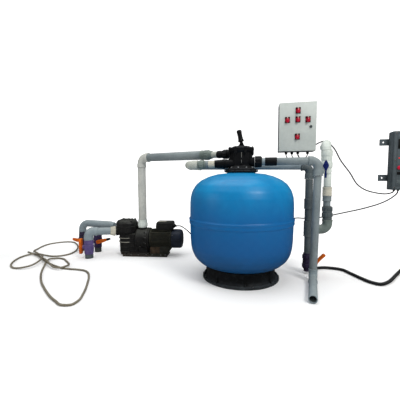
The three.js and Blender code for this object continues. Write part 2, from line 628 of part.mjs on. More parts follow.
// ---- chlorinator power unit ----
{
  const { x0, x1, z0, z1, y0, cover } = UNIT;
  const button = [x0 + 50, z0 + 186];
  const lugs = [];
  const holes = [];
  for (const z of [z1 - 84, z0 + 102]) {
    lugs.push(box(x0 - 72, x0 + 4, WALL_Y - 7, WALL_Y, z - 28, z + 28));
    lugs.push(box(x1 - 4, x1 + 72, WALL_Y - 7, WALL_Y, z - 28, z + 28));
    for (const x of [x0 - 42, x1 + 42]) {
      holes.push(rodY([x, z], WALL_Y - 20, WALL_Y + 20, 7, 12));
    }
  }
  add("power_unit_case", cut(
    join(box(x0, x1, y0 + cover + 0.4, WALL_Y, z0, z1), ...lugs), ...holes,
  ), FINISH.unitCase);
  add("power_unit_cover", cut(
    box(x0 + 6, x1 - 6, y0, y0 + cover, z0 + 5, z1 - 5),
    box(x0 + 34, x0 + 214, y0 - 5, y0 + 6, z1 - 152, z1 - 66),
    rodY(button, y0 - 10, y0 + 14, 9, 14),
  ), FINISH.unitCover);
  add("power_unit_display", box(
    x0 + 34.5, x0 + 213.5, y0 + 0.5, y0 + 5.5, z1 - 151.5, z1 - 66.5,
  ), FINISH.display);
  add("power_button", join(
    rodY(button, y0 + 5, y0 - 8, 8, 12),
    rodY(button, y0 - 5.5, y0 - 18, 17, 16),
  ), FINISH.buttonRed);
}

// ---- cables and hoses: centre lines of [x, y, z] ----
add("cabinet_cable", cable([
  [610, 590, 1026], [650, 590, 1050], [696, 590, 1060], [763, 590, 1008], [832, 590, 885],
  [908, 590, 779], [967, 590, 683], [1032, 590, 634], [1135, 590, 604], [1205, 592, 600],
  [1252, 600, 614], [1264, 606, 631],
], 5, 30, 5), FINISH.cable);
add("pump_cable", cable([
  fromPump([492, -20, 286]), [-592, 474, 280], [-548, 512, 238], [-500, 519, 192],
  [-380, 545, 150], [-100, 590, 150], [160, 606, 230], [330, 610, 330], [469, 610, 368],
  [539, 610, 368], [677, 610, 380], [794, 610, 406], [925, 610, 439], [1045, 610, 472],
  [1162, 610, 514], [1238, 610, 556], [1290, 612, 604], [1297, 613, 630.5],
], 5, 46, 5), FINISH.cable);
add("drain_hose", cable([
  [DROP_X + 26, RETURN_Y + 8, 26], [DROP_X + 50, 168, 18], [DROP_X + 78, 212, 13],
  [595, 265, 13], [638, 288, 13], [684, 294, 13], [780, 265, 13], [816, 189, 13],
  [863, 79, 13], [899, 17, 13], [944, -11, 13], [1014, 40, 13], [1136, 209, 13],
  [1240, 360, 13], [1330, 480, 13],
], 10, 44, 6), FINISH.drainHose);

// loose clear hose on the floor, with crossings lifted over each other
const FLOOR_HOSE = [
  [-2126, 249, 8], [-2060, 220, 8], [-1994, 192, 8], [-1929, 160, 8], [-1867, 123, 8],
  [-1809, 80, 8], [-1752, 36, 8], [-1692, -4, 8], [-1629, -40, 8], [-1566, -74, 8],
  [-1500, -103, 8], [-1432, -126, 8], [-1360, -135, 8], [-1288, -135, 8], [-1218, -147, 8],
  [-1160, -188, 8], [-1115, -244, 8], [-1076, -305, 8], [-1041, -368, 8], [-1007, -432, 8],
  [-975, -496, 8], [-946, -562, 8], [-921, -630, 8], [-925, -698, 8], [-982, -713, 8],
  [-1045, -679, 8], [-1107, -641, 8], [-1165, -599, 8], [-1222, -554, 8], [-1277, -508, 8],
  [-1332, -461, 8], [-1384, -411, 8], [-1434, -359, 8], [-1481, -305, 8], [-1527, -248, 8],
  [-1569, -190, 8], [-1609, -130, 10], [-1646, -68, 18.5], [-1680, -4, 24.4],
  [-1705, 62, 16.3], [-1670, 114, 8.6], [-1604, 103, 8], [-1547, 60, 8], [-1491, 14, 8],
  [-1442, -38, 13.4], [-1410, -102, 22.1], [-1431, -155, 21.1], [-1499, -146, 16.6],
  [-1562, -111, 25], [-1622, -71, 33.7], [-1680, -29, 37.7], [-1738, 14, 29.2],
  [-1796, 57, 23], [-1855, 98, 20.2], [-1916, 137, 19.4], [-1980, 168, 18.3],
  [-2036, 140, 9.8], [-2040, 72, 8], [-2017, 3, 8], [-1985, -61, 8], [-1943, -120, 8],
  [-1892, -170, 8], [-1830, -204, 8.1], [-1759, -203, 14.4], [-1706, -162, 23.1],
  [-1704, -92, 31.8], [-1726, -24, 40.4], [-1766, 36, 42.8], [-1821, 81, 39.2],
  [-1883, 119, 36.5], [-1945, 155, 38.4], [-2004, 197, 31.4], [-2054, 249, 22.8],
  [-2094, 309, 14.1], [-2125, 373, 8.1], [-2150, 441, 8], [-2166, 511, 8], [-2166, 583, 8],
  [-2137, 648, 8], [-2087, 699, 8], [-2022, 727, 8], [-1953, 717, 8], [-1895, 675, 8],
  [-1843, 625, 8], [-1795, 571, 8], [-1752, 513, 8], [-1716, 451, 8], [-1685, 386, 8],
  [-1666, 316, 8], [-1669, 245, 8], [-1708, 188, 8], [-1773, 160, 8.8], [-1844, 152, 16.9],
  [-1904, 156, 24.1],
];
add("floor_hose", cable(FLOOR_HOSE, 7, 124, 4), FINISH.clearHose);

export default group;
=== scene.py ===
"""Looks for a pool water-treatment plant: filter tank, multiport valve, pump, pipework, cabinets.

The floor is z = 0, the wall behind is near y = 650, and the front faces -Y. The tank stands on
the origin, the pump and its suction valves are to the left (-X), the return and waste lines
to the right. The switch cabinet and the power unit hang on the wall at the right.
Shapes are in millimetres; lights, camera, floor and shader scales are in metres.
"""
import math
import random

import bmesh
import bpy
import numpy as np
from mathutils import Matrix, Quaternion, Vector


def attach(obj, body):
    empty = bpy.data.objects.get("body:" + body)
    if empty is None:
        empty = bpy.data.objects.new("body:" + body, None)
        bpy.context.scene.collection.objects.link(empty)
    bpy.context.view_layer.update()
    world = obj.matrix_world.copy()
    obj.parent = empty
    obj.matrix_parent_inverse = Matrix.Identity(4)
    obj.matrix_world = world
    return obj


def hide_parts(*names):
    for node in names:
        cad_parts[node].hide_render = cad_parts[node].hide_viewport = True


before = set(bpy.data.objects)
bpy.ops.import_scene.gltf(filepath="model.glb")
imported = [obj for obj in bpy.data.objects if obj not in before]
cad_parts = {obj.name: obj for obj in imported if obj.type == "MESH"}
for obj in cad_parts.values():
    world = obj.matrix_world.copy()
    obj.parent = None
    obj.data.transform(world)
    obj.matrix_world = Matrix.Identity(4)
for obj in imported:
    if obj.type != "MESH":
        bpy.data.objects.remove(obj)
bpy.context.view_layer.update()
random.seed(7)
scene = bpy.context.scene

MM = 0.001
END = -0.0001          # tube station at the far end of its path
ORIGIN = (0, 0, 0)
UP = (0, 0, 1)
RIGHT = (1, 0, 0)
LEFT = (-1, 0, 0)
FRONT = (0, -1, 0)
SIDES = (-1, 1)
MATERIALS = {}


# =====================================================================
# mesh builders
# =====================================================================
class Shell:
    """Vertices and faces of one or more closed shells, with a material slot for each face."""

    def __init__(self, verts=(), faces=(), slot=0):
        self.verts = [tuple(p) for p in verts]
        self.faces = [tuple(face) for face in faces]
        self.slots = [slot] * len(self.faces)

    def moved(self, matrix):
        copy = Shell([matrix @ Vector(p) for p in self.verts], self.faces)
        copy.slots = self.slots
        return copy


def join(parts):
    whole = Shell()
    for part in parts:
        start = len(whole.verts)
        whole.verts += part.verts
        whole.faces += [tuple(i + start for i in face) for face in part.faces]
        whole.slots += part.slots
    return whole


def add_piece(name, parts, materials, node, body="plant", angle=32, place=None):
    """Makes one object riding on a body in place of a frame node.

    Edges bent less than the angle (degrees) are smooth; materials are names in slot order.
    """
    whole = join(parts)
    if place is not None:
        whole = whole.moved(place)
    mesh = bpy.data.meshes.new(name)
    mesh.from_pydata([(x * MM, y * MM, z * MM) for x, y, z in whole.verts], [], whole.faces)
    for material in materials.split():
        mesh.materials.append(MATERIALS[material])
    for face, index in zip(mesh.polygons, whole.slots):
        face.material_index = index
        face.use_smooth = True
    bm = bmesh.new()
    bm.from_mesh(mesh)
    bmesh.ops.recalc_face_normals(bm, faces=bm.faces)
    limit = math.radians(angle)
    for edge in bm.edges:
        if len(edge.link_faces) == 2:
            edge.smooth = edge.calc_face_angle(0) < limit
    bm.to_mesh(mesh)
    bm.free()
    mesh.update()
    piece = bpy.data.objects.new(name, mesh)
    scene.collection.objects.link(piece)
    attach(piece, body)
    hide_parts(node)


def shift(x, y, z):
    return Matrix.Translation((x, y, z))


def spin(degrees, axis="Z"):
    return Matrix.Rotation(math.radians(degrees), 4, axis)


def polar(radius, degrees, z=0.0):
    angle = math.radians(degrees)
    return (radius * math.cos(angle), radius * math.sin(angle), z)


def about_x(x, radius, degrees, z):
    """Point on a circle round an axis that runs along X at height z."""
    angle = math.radians(degrees)
    return (x, radius * math.cos(angle), z + radius * math.sin(angle))


def fillet(outline, radius, steps=3):
    """Rounds the corners of an open outline; radius is one number or a list, one per point."""
    out = []
    points = [np.array(p, float) for p in outline]
    for i, point in enumerate(points):
        size = radius[i] if isinstance(radius, (list, tuple)) else radius
        if i == 0 or i == len(points) - 1 or size <= 0:
            out.append(tuple(point))
            continue
        back, ahead = points[i - 1] - point, points[i + 1] - point
        back_len, ahead_len = np.linalg.norm(back), np.linalg.norm(ahead)
        if back_len < 1e-6 or ahead_len < 1e-6:
            out.append(tuple(point))
            continue
        back, ahead = back / back_len, ahead / ahead_len
        angle = math.acos(max(-1, min(1, float(back @ ahead))))
        if angle > math.radians(172):
            out.append(tuple(point))
            continue
        cut = min(size / math.tan(angle / 2), back_len * 0.48, ahead_len * 0.48)
        start, end = point + back * cut, point + ahead * cut
        for k in range(steps + 1):
            u = k / steps
            out.append(tuple((1 - u) ** 2 * start + 2 * u * (1 - u) * point + u ** 2 * end))
    return out


def band_faces(rings, seg):
    """Faces between successive rings of vertex numbers; a ring of one number is a pole."""
    faces = []
    for ring, after in zip(rings, rings[1:]):
        if len(ring) == 1 and len(after) == 1:
            continue
        for k in range(seg):
            k2 = (k + 1) % seg
            if len(ring) == 1:
                faces.append((ring[0], after[k], after[k2]))
            elif len(after) == 1:
                faces.append((ring[k], after[0], ring[k2]))
            else:
                faces.append((ring[k], after[k], after[k2], ring[k2]))
    return faces


def lathe(outline, seg=48, at=ORIGIN, axis=UP, slot=0, shape=None):
    """Turned body from (radius, distance) points: from pole to pole, or a closed loop.

    shape(angle, distance) scales the radius.
    """
    verts, rings = [], []
    for radius, distance in outline:
        if radius < 1e-6:
            rings.append([len(verts)])
            verts.append((0, 0, distance))
            continue
        rings.append(list(range(len(verts), len(verts) + seg)))
        for k in range(seg):
            angle = 2 * math.pi * k / seg
            size = radius if shape is None else radius * shape(angle, distance)
            verts.append((size * math.cos(angle), size * math.sin(angle), distance))
    if outline[0][0] > 1e-6:
        rings.append(rings[0])
    turn = Vector(UP).rotation_difference(Vector(axis).normalized()).to_matrix().to_4x4()
    place = Matrix.Translation(at) @ turn
    return Shell([place @ Vector(p) for p in verts], band_faces(rings, seg), slot)


def turned(outline, radius, steps, seg=48, at=ORIGIN, axis=UP, slot=0, shape=None):
    """Turned body with rounded outline corners."""
    return lathe(fillet(outline, radius, steps), seg, at, axis, slot, shape)


def rod(start, end, radius, seg=32, end_radius=None, slot=0):
    start, end = Vector(start), Vector(end)
    length = (end - start).length
    last = radius if end_radius is None else end_radius
    edge = min(1.2, radius * 0.4, last * 0.4, length * 0.3)
    outline = [(0, 0), (radius - edge, 0), (radius - 0.3 * edge, 0.3 * edge), (radius, edge),
               (last, length - edge), (last - 0.3 * edge, length - 0.3 * edge),
               (last - edge, length), (0, length)]
    return lathe(outline, seg, start, end - start, slot)


def bend_path(points, tangent, steps=10):
    """Polyline with its corners turned into arcs; tangent is one length, or one per corner."""
    corners = [Vector(p) for p in points]
    out = [corners[0]]
    for i in range(1, len(corners) - 1):
        length = tangent[i - 1] if isinstance(tangent, (list, tuple)) else tangent
        back = (corners[i - 1] - corners[i]).normalized()
        ahead = (corners[i + 1] - corners[i]).normalized()
        middle = (back + ahead).normalized()
        centre = corners[i] + middle * (length / math.cos(back.angle(ahead) / 2))
        start = corners[i] + back * length - centre
        sweep = start.rotation_difference(corners[i] + ahead * length - centre)
        angle, axis = sweep.angle, sweep.axis
        for k in range(steps + 1):
            out.append(centre + Quaternion(axis, angle * k / steps) @ start)
    out.append(corners[-1])
    return out


def spline(points, per):
    """Centripetal Catmull-Rom curve through the points, with per steps to a span."""
    known = [np.array(p, float) for p in points]
    padded = [2 * known[0] - known[1]] + known + [2 * known[-1] - known[-2]]
    out = []
    for p0, p1, p2, p3 in zip(padded, padded[1:], padded[2:], padded[3:]):
        t1 = max(1e-6, np.linalg.norm(p1 - p0)) ** 0.5
        t2 = t1 + max(1e-6, np.linalg.norm(p2 - p1)) ** 0.5
        t3 = t2 + max(1e-6, np.linalg.norm(p3 - p2)) ** 0.5
        for k in range(per):
            t = t1 + (t2 - t1) * k / per

            def between(a, b, ta, tb):
                return (tb - t) / (tb - ta) * a + (t - ta) / (tb - ta) * b

            near, mid, far = between(p0, p1, 0, t1), between(p1, p2, t1, t2), between(p2, p3, t2, t3)
            out.append(between(between(near, mid, 0, t2), between(mid, far, t1, t3), t1, t2))
    out.append(known[-1])
    return [Vector(p) for p in out]


def from_bmesh(bm, slot=0):
    bm.verts.ensure_lookup_table()
    bm.verts.index_update()
    shell = Shell([v.co for v in bm.verts], [[v.index for v in f.verts] for f in bm.faces], slot)
    bm.free()
    return shell


def round_edges(bm, radius, steps):
    bmesh.ops.bevel(bm, geom=bm.edges[:], offset=radius, segments=steps, profile=0.5,
                    affect="EDGES", clamp_overlap=True)


def cuboid(x0, x1, y0, y1, z0, z1, radius, steps, slot=0):
    """Block with rounded edges; each pair of limits may come in either order."""
    x0, x1 = sorted((x0, x1))
    y0, y1 = sorted((y0, y1))
    bm = bmesh.new()
    bmesh.ops.create_cube(bm, size=1.0)
    for v in bm.verts:
        v.co = Vector((x0 + (v.co.x + 0.5) * (x1 - x0), y0 + (v.co.y + 0.5) * (y1 - y0),
                       z0 + (v.co.z + 0.5) * (z1 - z0)))
    round_edges(bm, radius, steps)
    return from_bmesh(bm, slot)


def prism(outline, depth, radius, steps, place, slot=0):
    """Flat (x, z) outline pushed along +Y by depth, with rounded edges."""
    bm = bmesh.new()
    front = [bm.verts.new((x, 0, z)) for x, z in outline]
    back = [bm.verts.new((x, depth, z)) for x, z in outline]
    bm.faces.new(front)
    bm.faces.new(list(reversed(back)))
    for i in range(len(front)):
        j = (i + 1) % len(front)
        bm.faces.new((front[j], front[i], back[i], back[j]))
    bmesh.ops.recalc_face_normals(bm, faces=bm.faces)
    round_edges(bm, radius, steps)
    return from_bmesh(bm, slot).moved(place)


def skin(bm, loops):
    """Quads between successive vertex loops of equal length."""
    for loop, after in zip(loops, loops[1:]):
        for i in range(len(loop)):
            j = (i + 1) % len(loop)
            bm.faces.new((loop[i], loop[j], after[j], after[i]))


def inset_loops(bm, limits, rows, steps):
    """Round-cornered rectangles facing Y, one for each row (inset, y, corner radius)."""
    x0, x1, z0, z1 = limits
    loops = []
    for inset, y, radius in rows:
        right, left = x1 - inset - radius, x0 + inset + radius
        top, low = z1 - inset - radius, z0 + inset + radius
        loop = []
        for x, z, first in ((right, top, 0), (left, top, 90), (left, low, 180), (right, low, 270)):
            for i in range(steps + 1):
                angle = math.radians(first + 90 * i / steps)
                loop.append(bm.verts.new((x + radius * math.cos(angle), y,
                                          z + radius * math.sin(angle))))
        loops.append(loop)
    return loops


def open_box(limits, y0, y1, wall, radius):
    """Five-sided hollow box, open at y0, with rounded outside edges."""
    bm = bmesh.new()
    # (inset, y, corner radius), from the inside of the back round the rim to the outside
    rows = [(wall, y1 - wall, 2.0), (wall, y0 + 0.6, 2.0), (wall - 0.6, y0, 2.2), (1.2, y0, radius),
            (0.3, y0 + 0.4, radius), (0, y0 + 1.4, radius), (0, y1 - 2.4, radius),
            (0.7, y1 - 0.7, radius), (2.4, y1, radius)]
    loops = inset_loops(bm, limits, rows, 4)
    skin(bm, loops)
    bm.faces.new(loops[0])
    bm.faces.new(list(reversed(loops[-1])))
    bmesh.ops.recalc_face_normals(bm, faces=bm.faces)
    return from_bmesh(bm)


def hexbolt(at, axis, flats, height, washer=True, slot=0):
    radius = flats / math.sqrt(3)
    parts = []
    if washer:
        outline = [(0, 0), (radius * 1.25, 0), (radius * 1.25, 1.2), (0, 1.4)]
        parts.append(lathe(outline, 20, at, axis))
    parts.append(lathe([(0, 0.5), (radius, 0.5), (radius, height * 0.85), (radius * 0.86, height),
                        (0, height)], 6, at, axis))
    bolt = join(parts)
    bolt.slots = [slot] * len(bolt.faces)
    return bolt


def nut(radius, height, lobes, depth, at, axis=UP, seg=96, slot=0):
    """Union nut with grip ribs."""
    def ribs(angle, distance):
        if not 2 < distance < height - 2:
            return 1
        return 1 + depth / radius * (0.5 + 0.5 * math.tanh(3.2 * math.cos(lobes * angle)))

    outline = [(0, 0), (radius - 1, 0), (radius, 2.2), (radius, height - 2.2),
               (radius - 1, height), (0, height)]
    return turned(outline, [0, 0.8, 0.4, 0.4, 0.8, 0], 3, seg, at, axis, slot, ribs)


# =====================================================================
# pipework builders
# =====================================================================
def tube(points, stations, seg=40, slot=0, dense=5.0):
    """Round section along a path.

    Stations are (distance, radius) in order; a negative distance counts back from the far end,
    and the list may run back on itself to make a bore. dense is the path step.
    """
    corners = [Vector(p) for p in points]
    path = [corners[0]]
    for a, b in zip(corners, corners[1:]):
        n = max(1, int((b - a).length / dense))
        for k in range(1, n + 1):
            path.append(a + (b - a) * (k / n))
    reach = [0.0]
    for a, b in zip(path, path[1:]):
        reach.append(reach[-1] + (b - a).length)
    last = len(path) - 1
    tangents = [(path[min(last, i + 1)] - path[max(0, i - 1)]).normalized()
                for i in range(last + 1)]
    up = Vector(UP) if abs(tangents[0].z) < 0.9 else Vector(RIGHT)
    normals = [(up - tangents[0] * up.dot(tangents[0])).normalized()]
    for before, tangent in zip(tangents, tangents[1:]):
        normal = before.rotation_difference(tangent) @ normals[-1]
        normals.append((normal - tangent * normal.dot(tangent)).normalized())
    length = reach[-1]

    def frame_at(distance):
        distance = max(0.0, min(length, distance))
        i = int(np.searchsorted(reach, distance, side="right")) - 1
        i = max(0, min(last - 1, i))
        part = (distance - reach[i]) / max(1e-9, reach[i + 1] - reach[i])
        tangent = tangents[i].lerp(tangents[i + 1], part).normalized()
        normal = normals[i].lerp(normals[i + 1], part)
        normal = (normal - tangent * normal.dot(tangent)).normalized()
        return path[i].lerp(path[i + 1], part), tangent, normal

    stations = [((length + s if s < 0 else s), r) for s, r in stations]
    full = [stations[0]]
    for (s0, r0), (s1, r1) in zip(stations, stations[1:]):
        if r0 > 0 and r1 > 0 and abs(s1 - s0) > dense * 1.3:
            # extra rings wherever the path bends between two stations
            low, high = min(s0, s1) + dense * 0.5, max(s0, s1) - dense * 0.5
            extra = [s for i, s in enumerate(reach) if low < s < high and 0 < i < last
                     and tangents[i - 1].angle(tangents[i + 1]) > 0.006]
            if s1 < s0:
                extra.reverse()
            full += [(s, r0 + (r1 - r0) * (s - s0) / (s1 - s0)) for s in extra]
        full.append((s1, r1))
    verts, rings = [], []
    for distance, radius in full:
        centre, tangent, normal = frame_at(distance)
        if radius < 1e-6:
            rings.append([len(verts)])
            verts.append(centre)
            continue
        side = tangent.cross(normal)
        rings.append(list(range(len(verts), len(verts) + seg)))
        for k in range(seg):
            angle = 2 * math.pi * k / seg
            verts.append(centre + (normal * math.cos(angle) + side * math.sin(angle)) * radius)
    return Shell(verts, band_faces(rings, seg), slot)


def pipe(start, end, radius, slot=0):
    return tube([start, end], [(0, 0), (0, radius - 1.2), (0.4, radius - 0.4), (1.4, radius),
                               (-1.4, radius), (-0.4, radius - 0.4), (END, radius - 1.2),
                               (END, 0)], 40, slot)


def elbow(points, tangent, radius, cups, neck=2.6, steps=12):
    """Moulded bend: a lipped cup at each end (lengths in cups), slimmer by neck between."""
    first, second = cups
    lip = radius + 1.6
    stations = [(0, 0), (0, radius - 3), (0.8, lip - 0.8), (1.8, lip), (6.5, lip), (8.5, radius),
                (first, radius), (first + 5, radius - neck), (-second - 5, radius - neck),
                (-second, radius), (-8.5, radius), (-6.5, lip), (-1.8, lip), (-0.8, lip - 0.8),
                (END, radius - 3), (END, 0)]
    return tube(bend_path(points, tangent, steps), stations, 44)


def socket(at, axis, length, radius, lip=1.6, slot=0):
    """Straight sleeve with a small lip at each end."""
    half = [(0, 0), (radius - 3, 0), (radius + lip - 0.8, 0.6), (radius + lip, 1.8),
            (radius + lip, 6), (radius, 8)]
    return lathe(half + [(r, length - s) for r, s in reversed(half)], 44, at, axis, slot)


def bands(at, axis, distances, radius, width=3.0, height=1.4, slot=0, seg=44):
    """Raised bands round a pipe."""
    at, axis, half = Vector(at), Vector(axis).normalized(), width / 2
    outline = [(radius - 2, -half), (radius + height * 0.5, -half), (radius + height, -half / 2),
               (radius + height, half / 2), (radius + height * 0.5, half), (radius - 2, half)]
    return join([lathe(outline, seg, at + axis * s, axis, slot) for s in distances])


def ball_valve(x, y, z, sections, nut_slot=0):
    """Upright ball valve; a section is (start, end, radius, kind) measured above z."""
    parts = []
    for start, end, radius, kind in sections:
        at, length = (x, y, z + start), end - start
        if kind == "nut":
            parts.append(nut(radius - 1.6, length, 10, 2.2, at, slot=nut_slot))
        elif kind == "barrel":
            parts.append(turned([(0, 0), (radius - 6, 0), (radius, 6), (radius, length - 6),
                                 (radius - 6, length), (0, length)], 4, 3, 48, at))
        else:
            parts.append(socket(at, UP, length, radius, lip=1.4))
    return parts


def lever_plate(hub, out, along, reach, middle, end, thick, hub_radius, hub_length, offset, waist):
    """Quarter-turn handle: a turned hub and a waisted wing across its face.

    The wing runs reach[0] along its axis and reach[1] the other way; middle and end are widths,
    waist is the share of the middle width left halfway out.
    """
    out, along = Vector(out).normalized(), Vector(along).normalized()
    across = out.cross(along).normalized()
    hub = Vector(hub)
    r, length = hub_radius, hub_length
    knob = turned([(0, 0.8), (r - 1, 0.8), (r, 2), (r, length - 3), (r - 3, length), (6, length),
                   (5, length - 2.5), (0, length - 2.5)], 1.2, 2, 36, hub, out)
    ahead, back = reach
    n = 12
    left, right = [], []
    for i in range(n + 1):
        s = -back + (ahead + back) * (i / n)
        share = abs(s) / (ahead if s > 0 else back)
        if share < 0.5:
            width = middle * (1 - share) + middle * waist * share
        else:
            half = middle * (1 + waist) / 2
            width = half + (end - half) * (share - 0.5) * 2
        if i in (0, n):
            width *= 0.72
        right.append((width / 2, s))
        left.append((-width / 2, s))
    place = Matrix.Identity(4)
    origin = hub + out * offset
    for row in range(3):
        place[row][:] = across[row], out[row], along[row], origin[row]
    wing = prism(right + left[::-1], thick, min(3.2, thick * 0.3), 3, place)
    rib = prism([(-1.8, -back * 0.86), (1.8, -back * 0.86), (1.8, ahead * 0.86),
                 (-1.8, ahead * 0.86)], 3.2, 1, 2, place @ shift(0, thick - 0.6, 0))
    return [knob, wing, rib]


def cable(points, radius, seg=18):
    return tube(spline(points, 8), [(0, 0), (0, radius - 0.6), (0.6, radius), (-0.6, radius),
                                    (END, radius - 0.6), (END, 0)], seg, dense=6)


# =====================================================================
# materials; colours are sRGB, 0 to 255
# =====================================================================
def linear(colour):
    return tuple(x / 255 / 12.92 if x / 255 <= 0.04045 else ((x / 255 + 0.055) / 1.055) ** 2.4
                 for x in colour)


class Nodes:
    """A new material and short ways to add nodes to it."""

    def __init__(self, name):
        self.material = MATERIALS[name] = bpy.data.materials.new(name)
        self.material.use_nodes = True
        self.tree = self.material.node_tree
        self.bsdf = self.tree.nodes["Principled BSDF"]
        self.coords = self.node("ShaderNodeTexCoord").outputs["Object"]

    def node(self, kind, **settings):
        node = self.tree.nodes.new(kind)
        for key, value in settings.items():
            setattr(node, key, value)
        return node

    def link(self, output, target):
        self.tree.links.new(output, target)

    def put(self, target, value):
        """Links an output or sets a plain value; three numbers are an opaque colour."""
        if hasattr(value, "node"):
            self.link(value, target)
        elif isinstance(value, tuple):
            target.default_value = (*value, 1)
        else:
            target.default_value = value

    def mapping(self, scale, rotation=(0, 0, 0)):
        node = self.node("ShaderNodeMapping")
        node.inputs["Scale"].default_value = scale
        node.inputs["Rotation"].default_value = rotation
        self.link(self.coords, node.inputs["Vector"])
        return node.outputs["Vector"]

    def noise(self, scale, detail, rough, vector=None, distort=0.0):
        node = self.node("ShaderNodeTexNoise")
        node.inputs["Scale"].default_value = scale
        node.inputs["Detail"].default_value = detail
        node.inputs["Roughness"].default_value = rough
        node.inputs["Distortion"].default_value = distort
        self.link(vector or self.coords, node.inputs["Vector"])
        return node.outputs["Fac"]

    def ramp(self, factor, *stops):
        """Stops are (position, grey level or colour)."""
        node = self.node("ShaderNodeValToRGB")
        elements = node.color_ramp.elements
        while len(elements) < len(stops):
            elements.new(0.5)
        for element, (position, value) in zip(elements, stops):
            element.position = position
            grey = isinstance(value, (int, float))
            element.color = (value, value, value, 1) if grey else (*value, 1)
        self.link(factor, node.inputs["Fac"])
        return node.outputs["Color"]

    def math(self, operation, first, second=0.0, clamp=False):
        node = self.node("ShaderNodeMath", operation=operation, use_clamp=clamp)
        self.put(node.inputs[0], first)
        self.put(node.inputs[1], second)
        return node.outputs[0]

    def mix(self, factor, first, second):
        node = self.node("ShaderNodeMix", data_type="RGBA")
        for index, value in ((0, factor), (6, first), (7, second)):
            self.put(node.inputs[index], value)
        return node.outputs[2]

    def split(self, vector=None):
        node = self.node("ShaderNodeSeparateXYZ")
        self.link(vector or self.coords, node.inputs[0])
        return node.outputs

    def remap(self, value, low, high, to_low=0.0, to_high=1.0):
        node = self.node("ShaderNodeMapRange", clamp=True)
        self.link(value, node.inputs[0])
        for i, limit in enumerate((low, high, to_low, to_high)):
            node.inputs[i + 1].default_value = limit
        return node.outputs[0]

    def facing_up(self, low=0.25, high=0.85):
        """0 to 1 as the normal's z goes from low to high."""
        normal = self.node("ShaderNodeNewGeometry").outputs["Normal"]
        return self.remap(self.split(normal)[2], low, high)

    def bump(self, height, strength, distance, before=None):
        node = self.node("ShaderNodeBump")
        node.inputs["Strength"].default_value = strength
        node.inputs["Distance"].default_value = distance
        self.link(height, node.inputs["Height"])
        if before is not None:
            self.link(before, node.inputs["Normal"])
        return node.outputs["Normal"]

    def finish(self, colour, rough, normal=None, **inputs):
        self.put(self.bsdf.inputs["Base Color"], colour)
        self.put(self.bsdf.inputs["Roughness"], rough)
        if normal is not None:
            self.link(normal, self.bsdf.inputs["Normal"])
        for key, value in inputs.items():
            self.put(self.bsdf.inputs[key.replace("_", " ")], value)


def tank_material():
    """Blue gel coat over wound glass fibre: crossing winding bands, dust, runs and scuffs, with
    painted shade towards the foot and painted light towards the shoulder.
    """
    mat = Nodes("gelcoat_blue")
    x, y, z = mat.split()
    angle = mat.math("ARCTAN2", y, x)
    bands_round, bands_per_metre = 26.0, 95.0
    waves = [mat.math("SINE", mat.math(way, mat.math("MULTIPLY", angle, bands_round),
                                       mat.math("MULTIPLY", z, bands_per_metre)))
             for way in ("ADD", "SUBTRACT")]
    winding = mat.math("ADD", mat.math("MULTIPLY", mat.math("ADD", *waves), 0.25), 0.5)
    # painted shade at the foot and painted light towards the shoulder: the blue darkens low down and
    # lightens high up
    colour = mat.ramp(mat.remap(z, 0.10, 0.70), (0.0, linear((0, 56, 98))),
                      (0.30, linear((0, 78, 134))), (0.62, linear((0, 92, 150))),
                      (0.86, linear((0, 116, 170))), (1.0, linear((0, 132, 184))))
    mottle = mat.ramp(mat.noise(scale=5.0, detail=6, rough=0.6, distort=0.4),
                      (0.32, 0.0), (0.7, 0.5))
    colour = mat.mix(mottle, colour, linear((0, 78, 136)))
    tint = mat.math("MULTIPLY", mat.ramp(winding, (0.2, 0.0), (0.9, 1.0)), 0.02)
    colour = mat.mix(tint, colour, linear((20, 130, 190)))
    # vertical runs, fading towards the top
    runs = mat.noise(scale=1.0, detail=6, rough=0.6, vector=mat.mapping(scale=(22, 22, 1.6)))
    runs = mat.math("MULTIPLY", mat.ramp(runs, (0.52, 0.0), (0.74, 0.20)),
                    mat.remap(z, 0.75, 0.3, to_low=1.0, to_high=0.35))
    colour = mat.mix(runs, colour, linear((4, 100, 158)))
    # painted shade: blotchy darkening towards the foot
    foot_shade = mat.math("MULTIPLY", mat.remap(z, 0.24, 0.07),
                      mat.ramp(mat.noise(scale=16, detail=7, rough=0.7), (0.3, 0.2), (0.7, 0.8)))
    colour = mat.mix(foot_shade, colour, linear((4, 60, 96)))
    dust = mat.math("MULTIPLY", mat.facing_up(low=0.55, high=0.98),
                    mat.ramp(mat.noise(scale=18, detail=7, rough=0.7), (0.3, 0.02), (0.7, 0.12)))
    colour = mat.mix(dust, colour, linear((70, 140, 178)))
    specks = mat.ramp(mat.noise(scale=240, detail=2, rough=0.5), (0.70, 0.0), (0.76, 0.08))
    colour = mat.mix(specks, colour, linear((150, 180, 190)))
    wear = mat.ramp(mat.noise(scale=20, detail=6, rough=0.6), (0.3, 0.0), (0.75, 1.0))
    rough = mat.math("ADD", mat.math("MULTIPLY", wear, 0.16), 0.30)
    # rougher where the dust and the painted foot shade lie
    dirt = mat.math("MULTIPLY", mat.math("ADD", dust, foot_shade), 0.3)
    rough = mat.math("ADD", rough, dirt, clamp=True)
    normal = mat.bump(winding, strength=0.04, distance=0.0008)
    normal = mat.bump(mat.noise(scale=7, detail=3, rough=0.5), strength=0.25, distance=0.004,
                      before=normal)
    normal = mat.bump(mat.noise(scale=130, detail=4, rough=0.6), strength=0.08, distance=0.0006,
                      before=normal)
    mat.finish(colour, rough, normal, Coat_Weight=0.0, Coat_Roughness=0.25,
               Specular_IOR_Level=0.26)


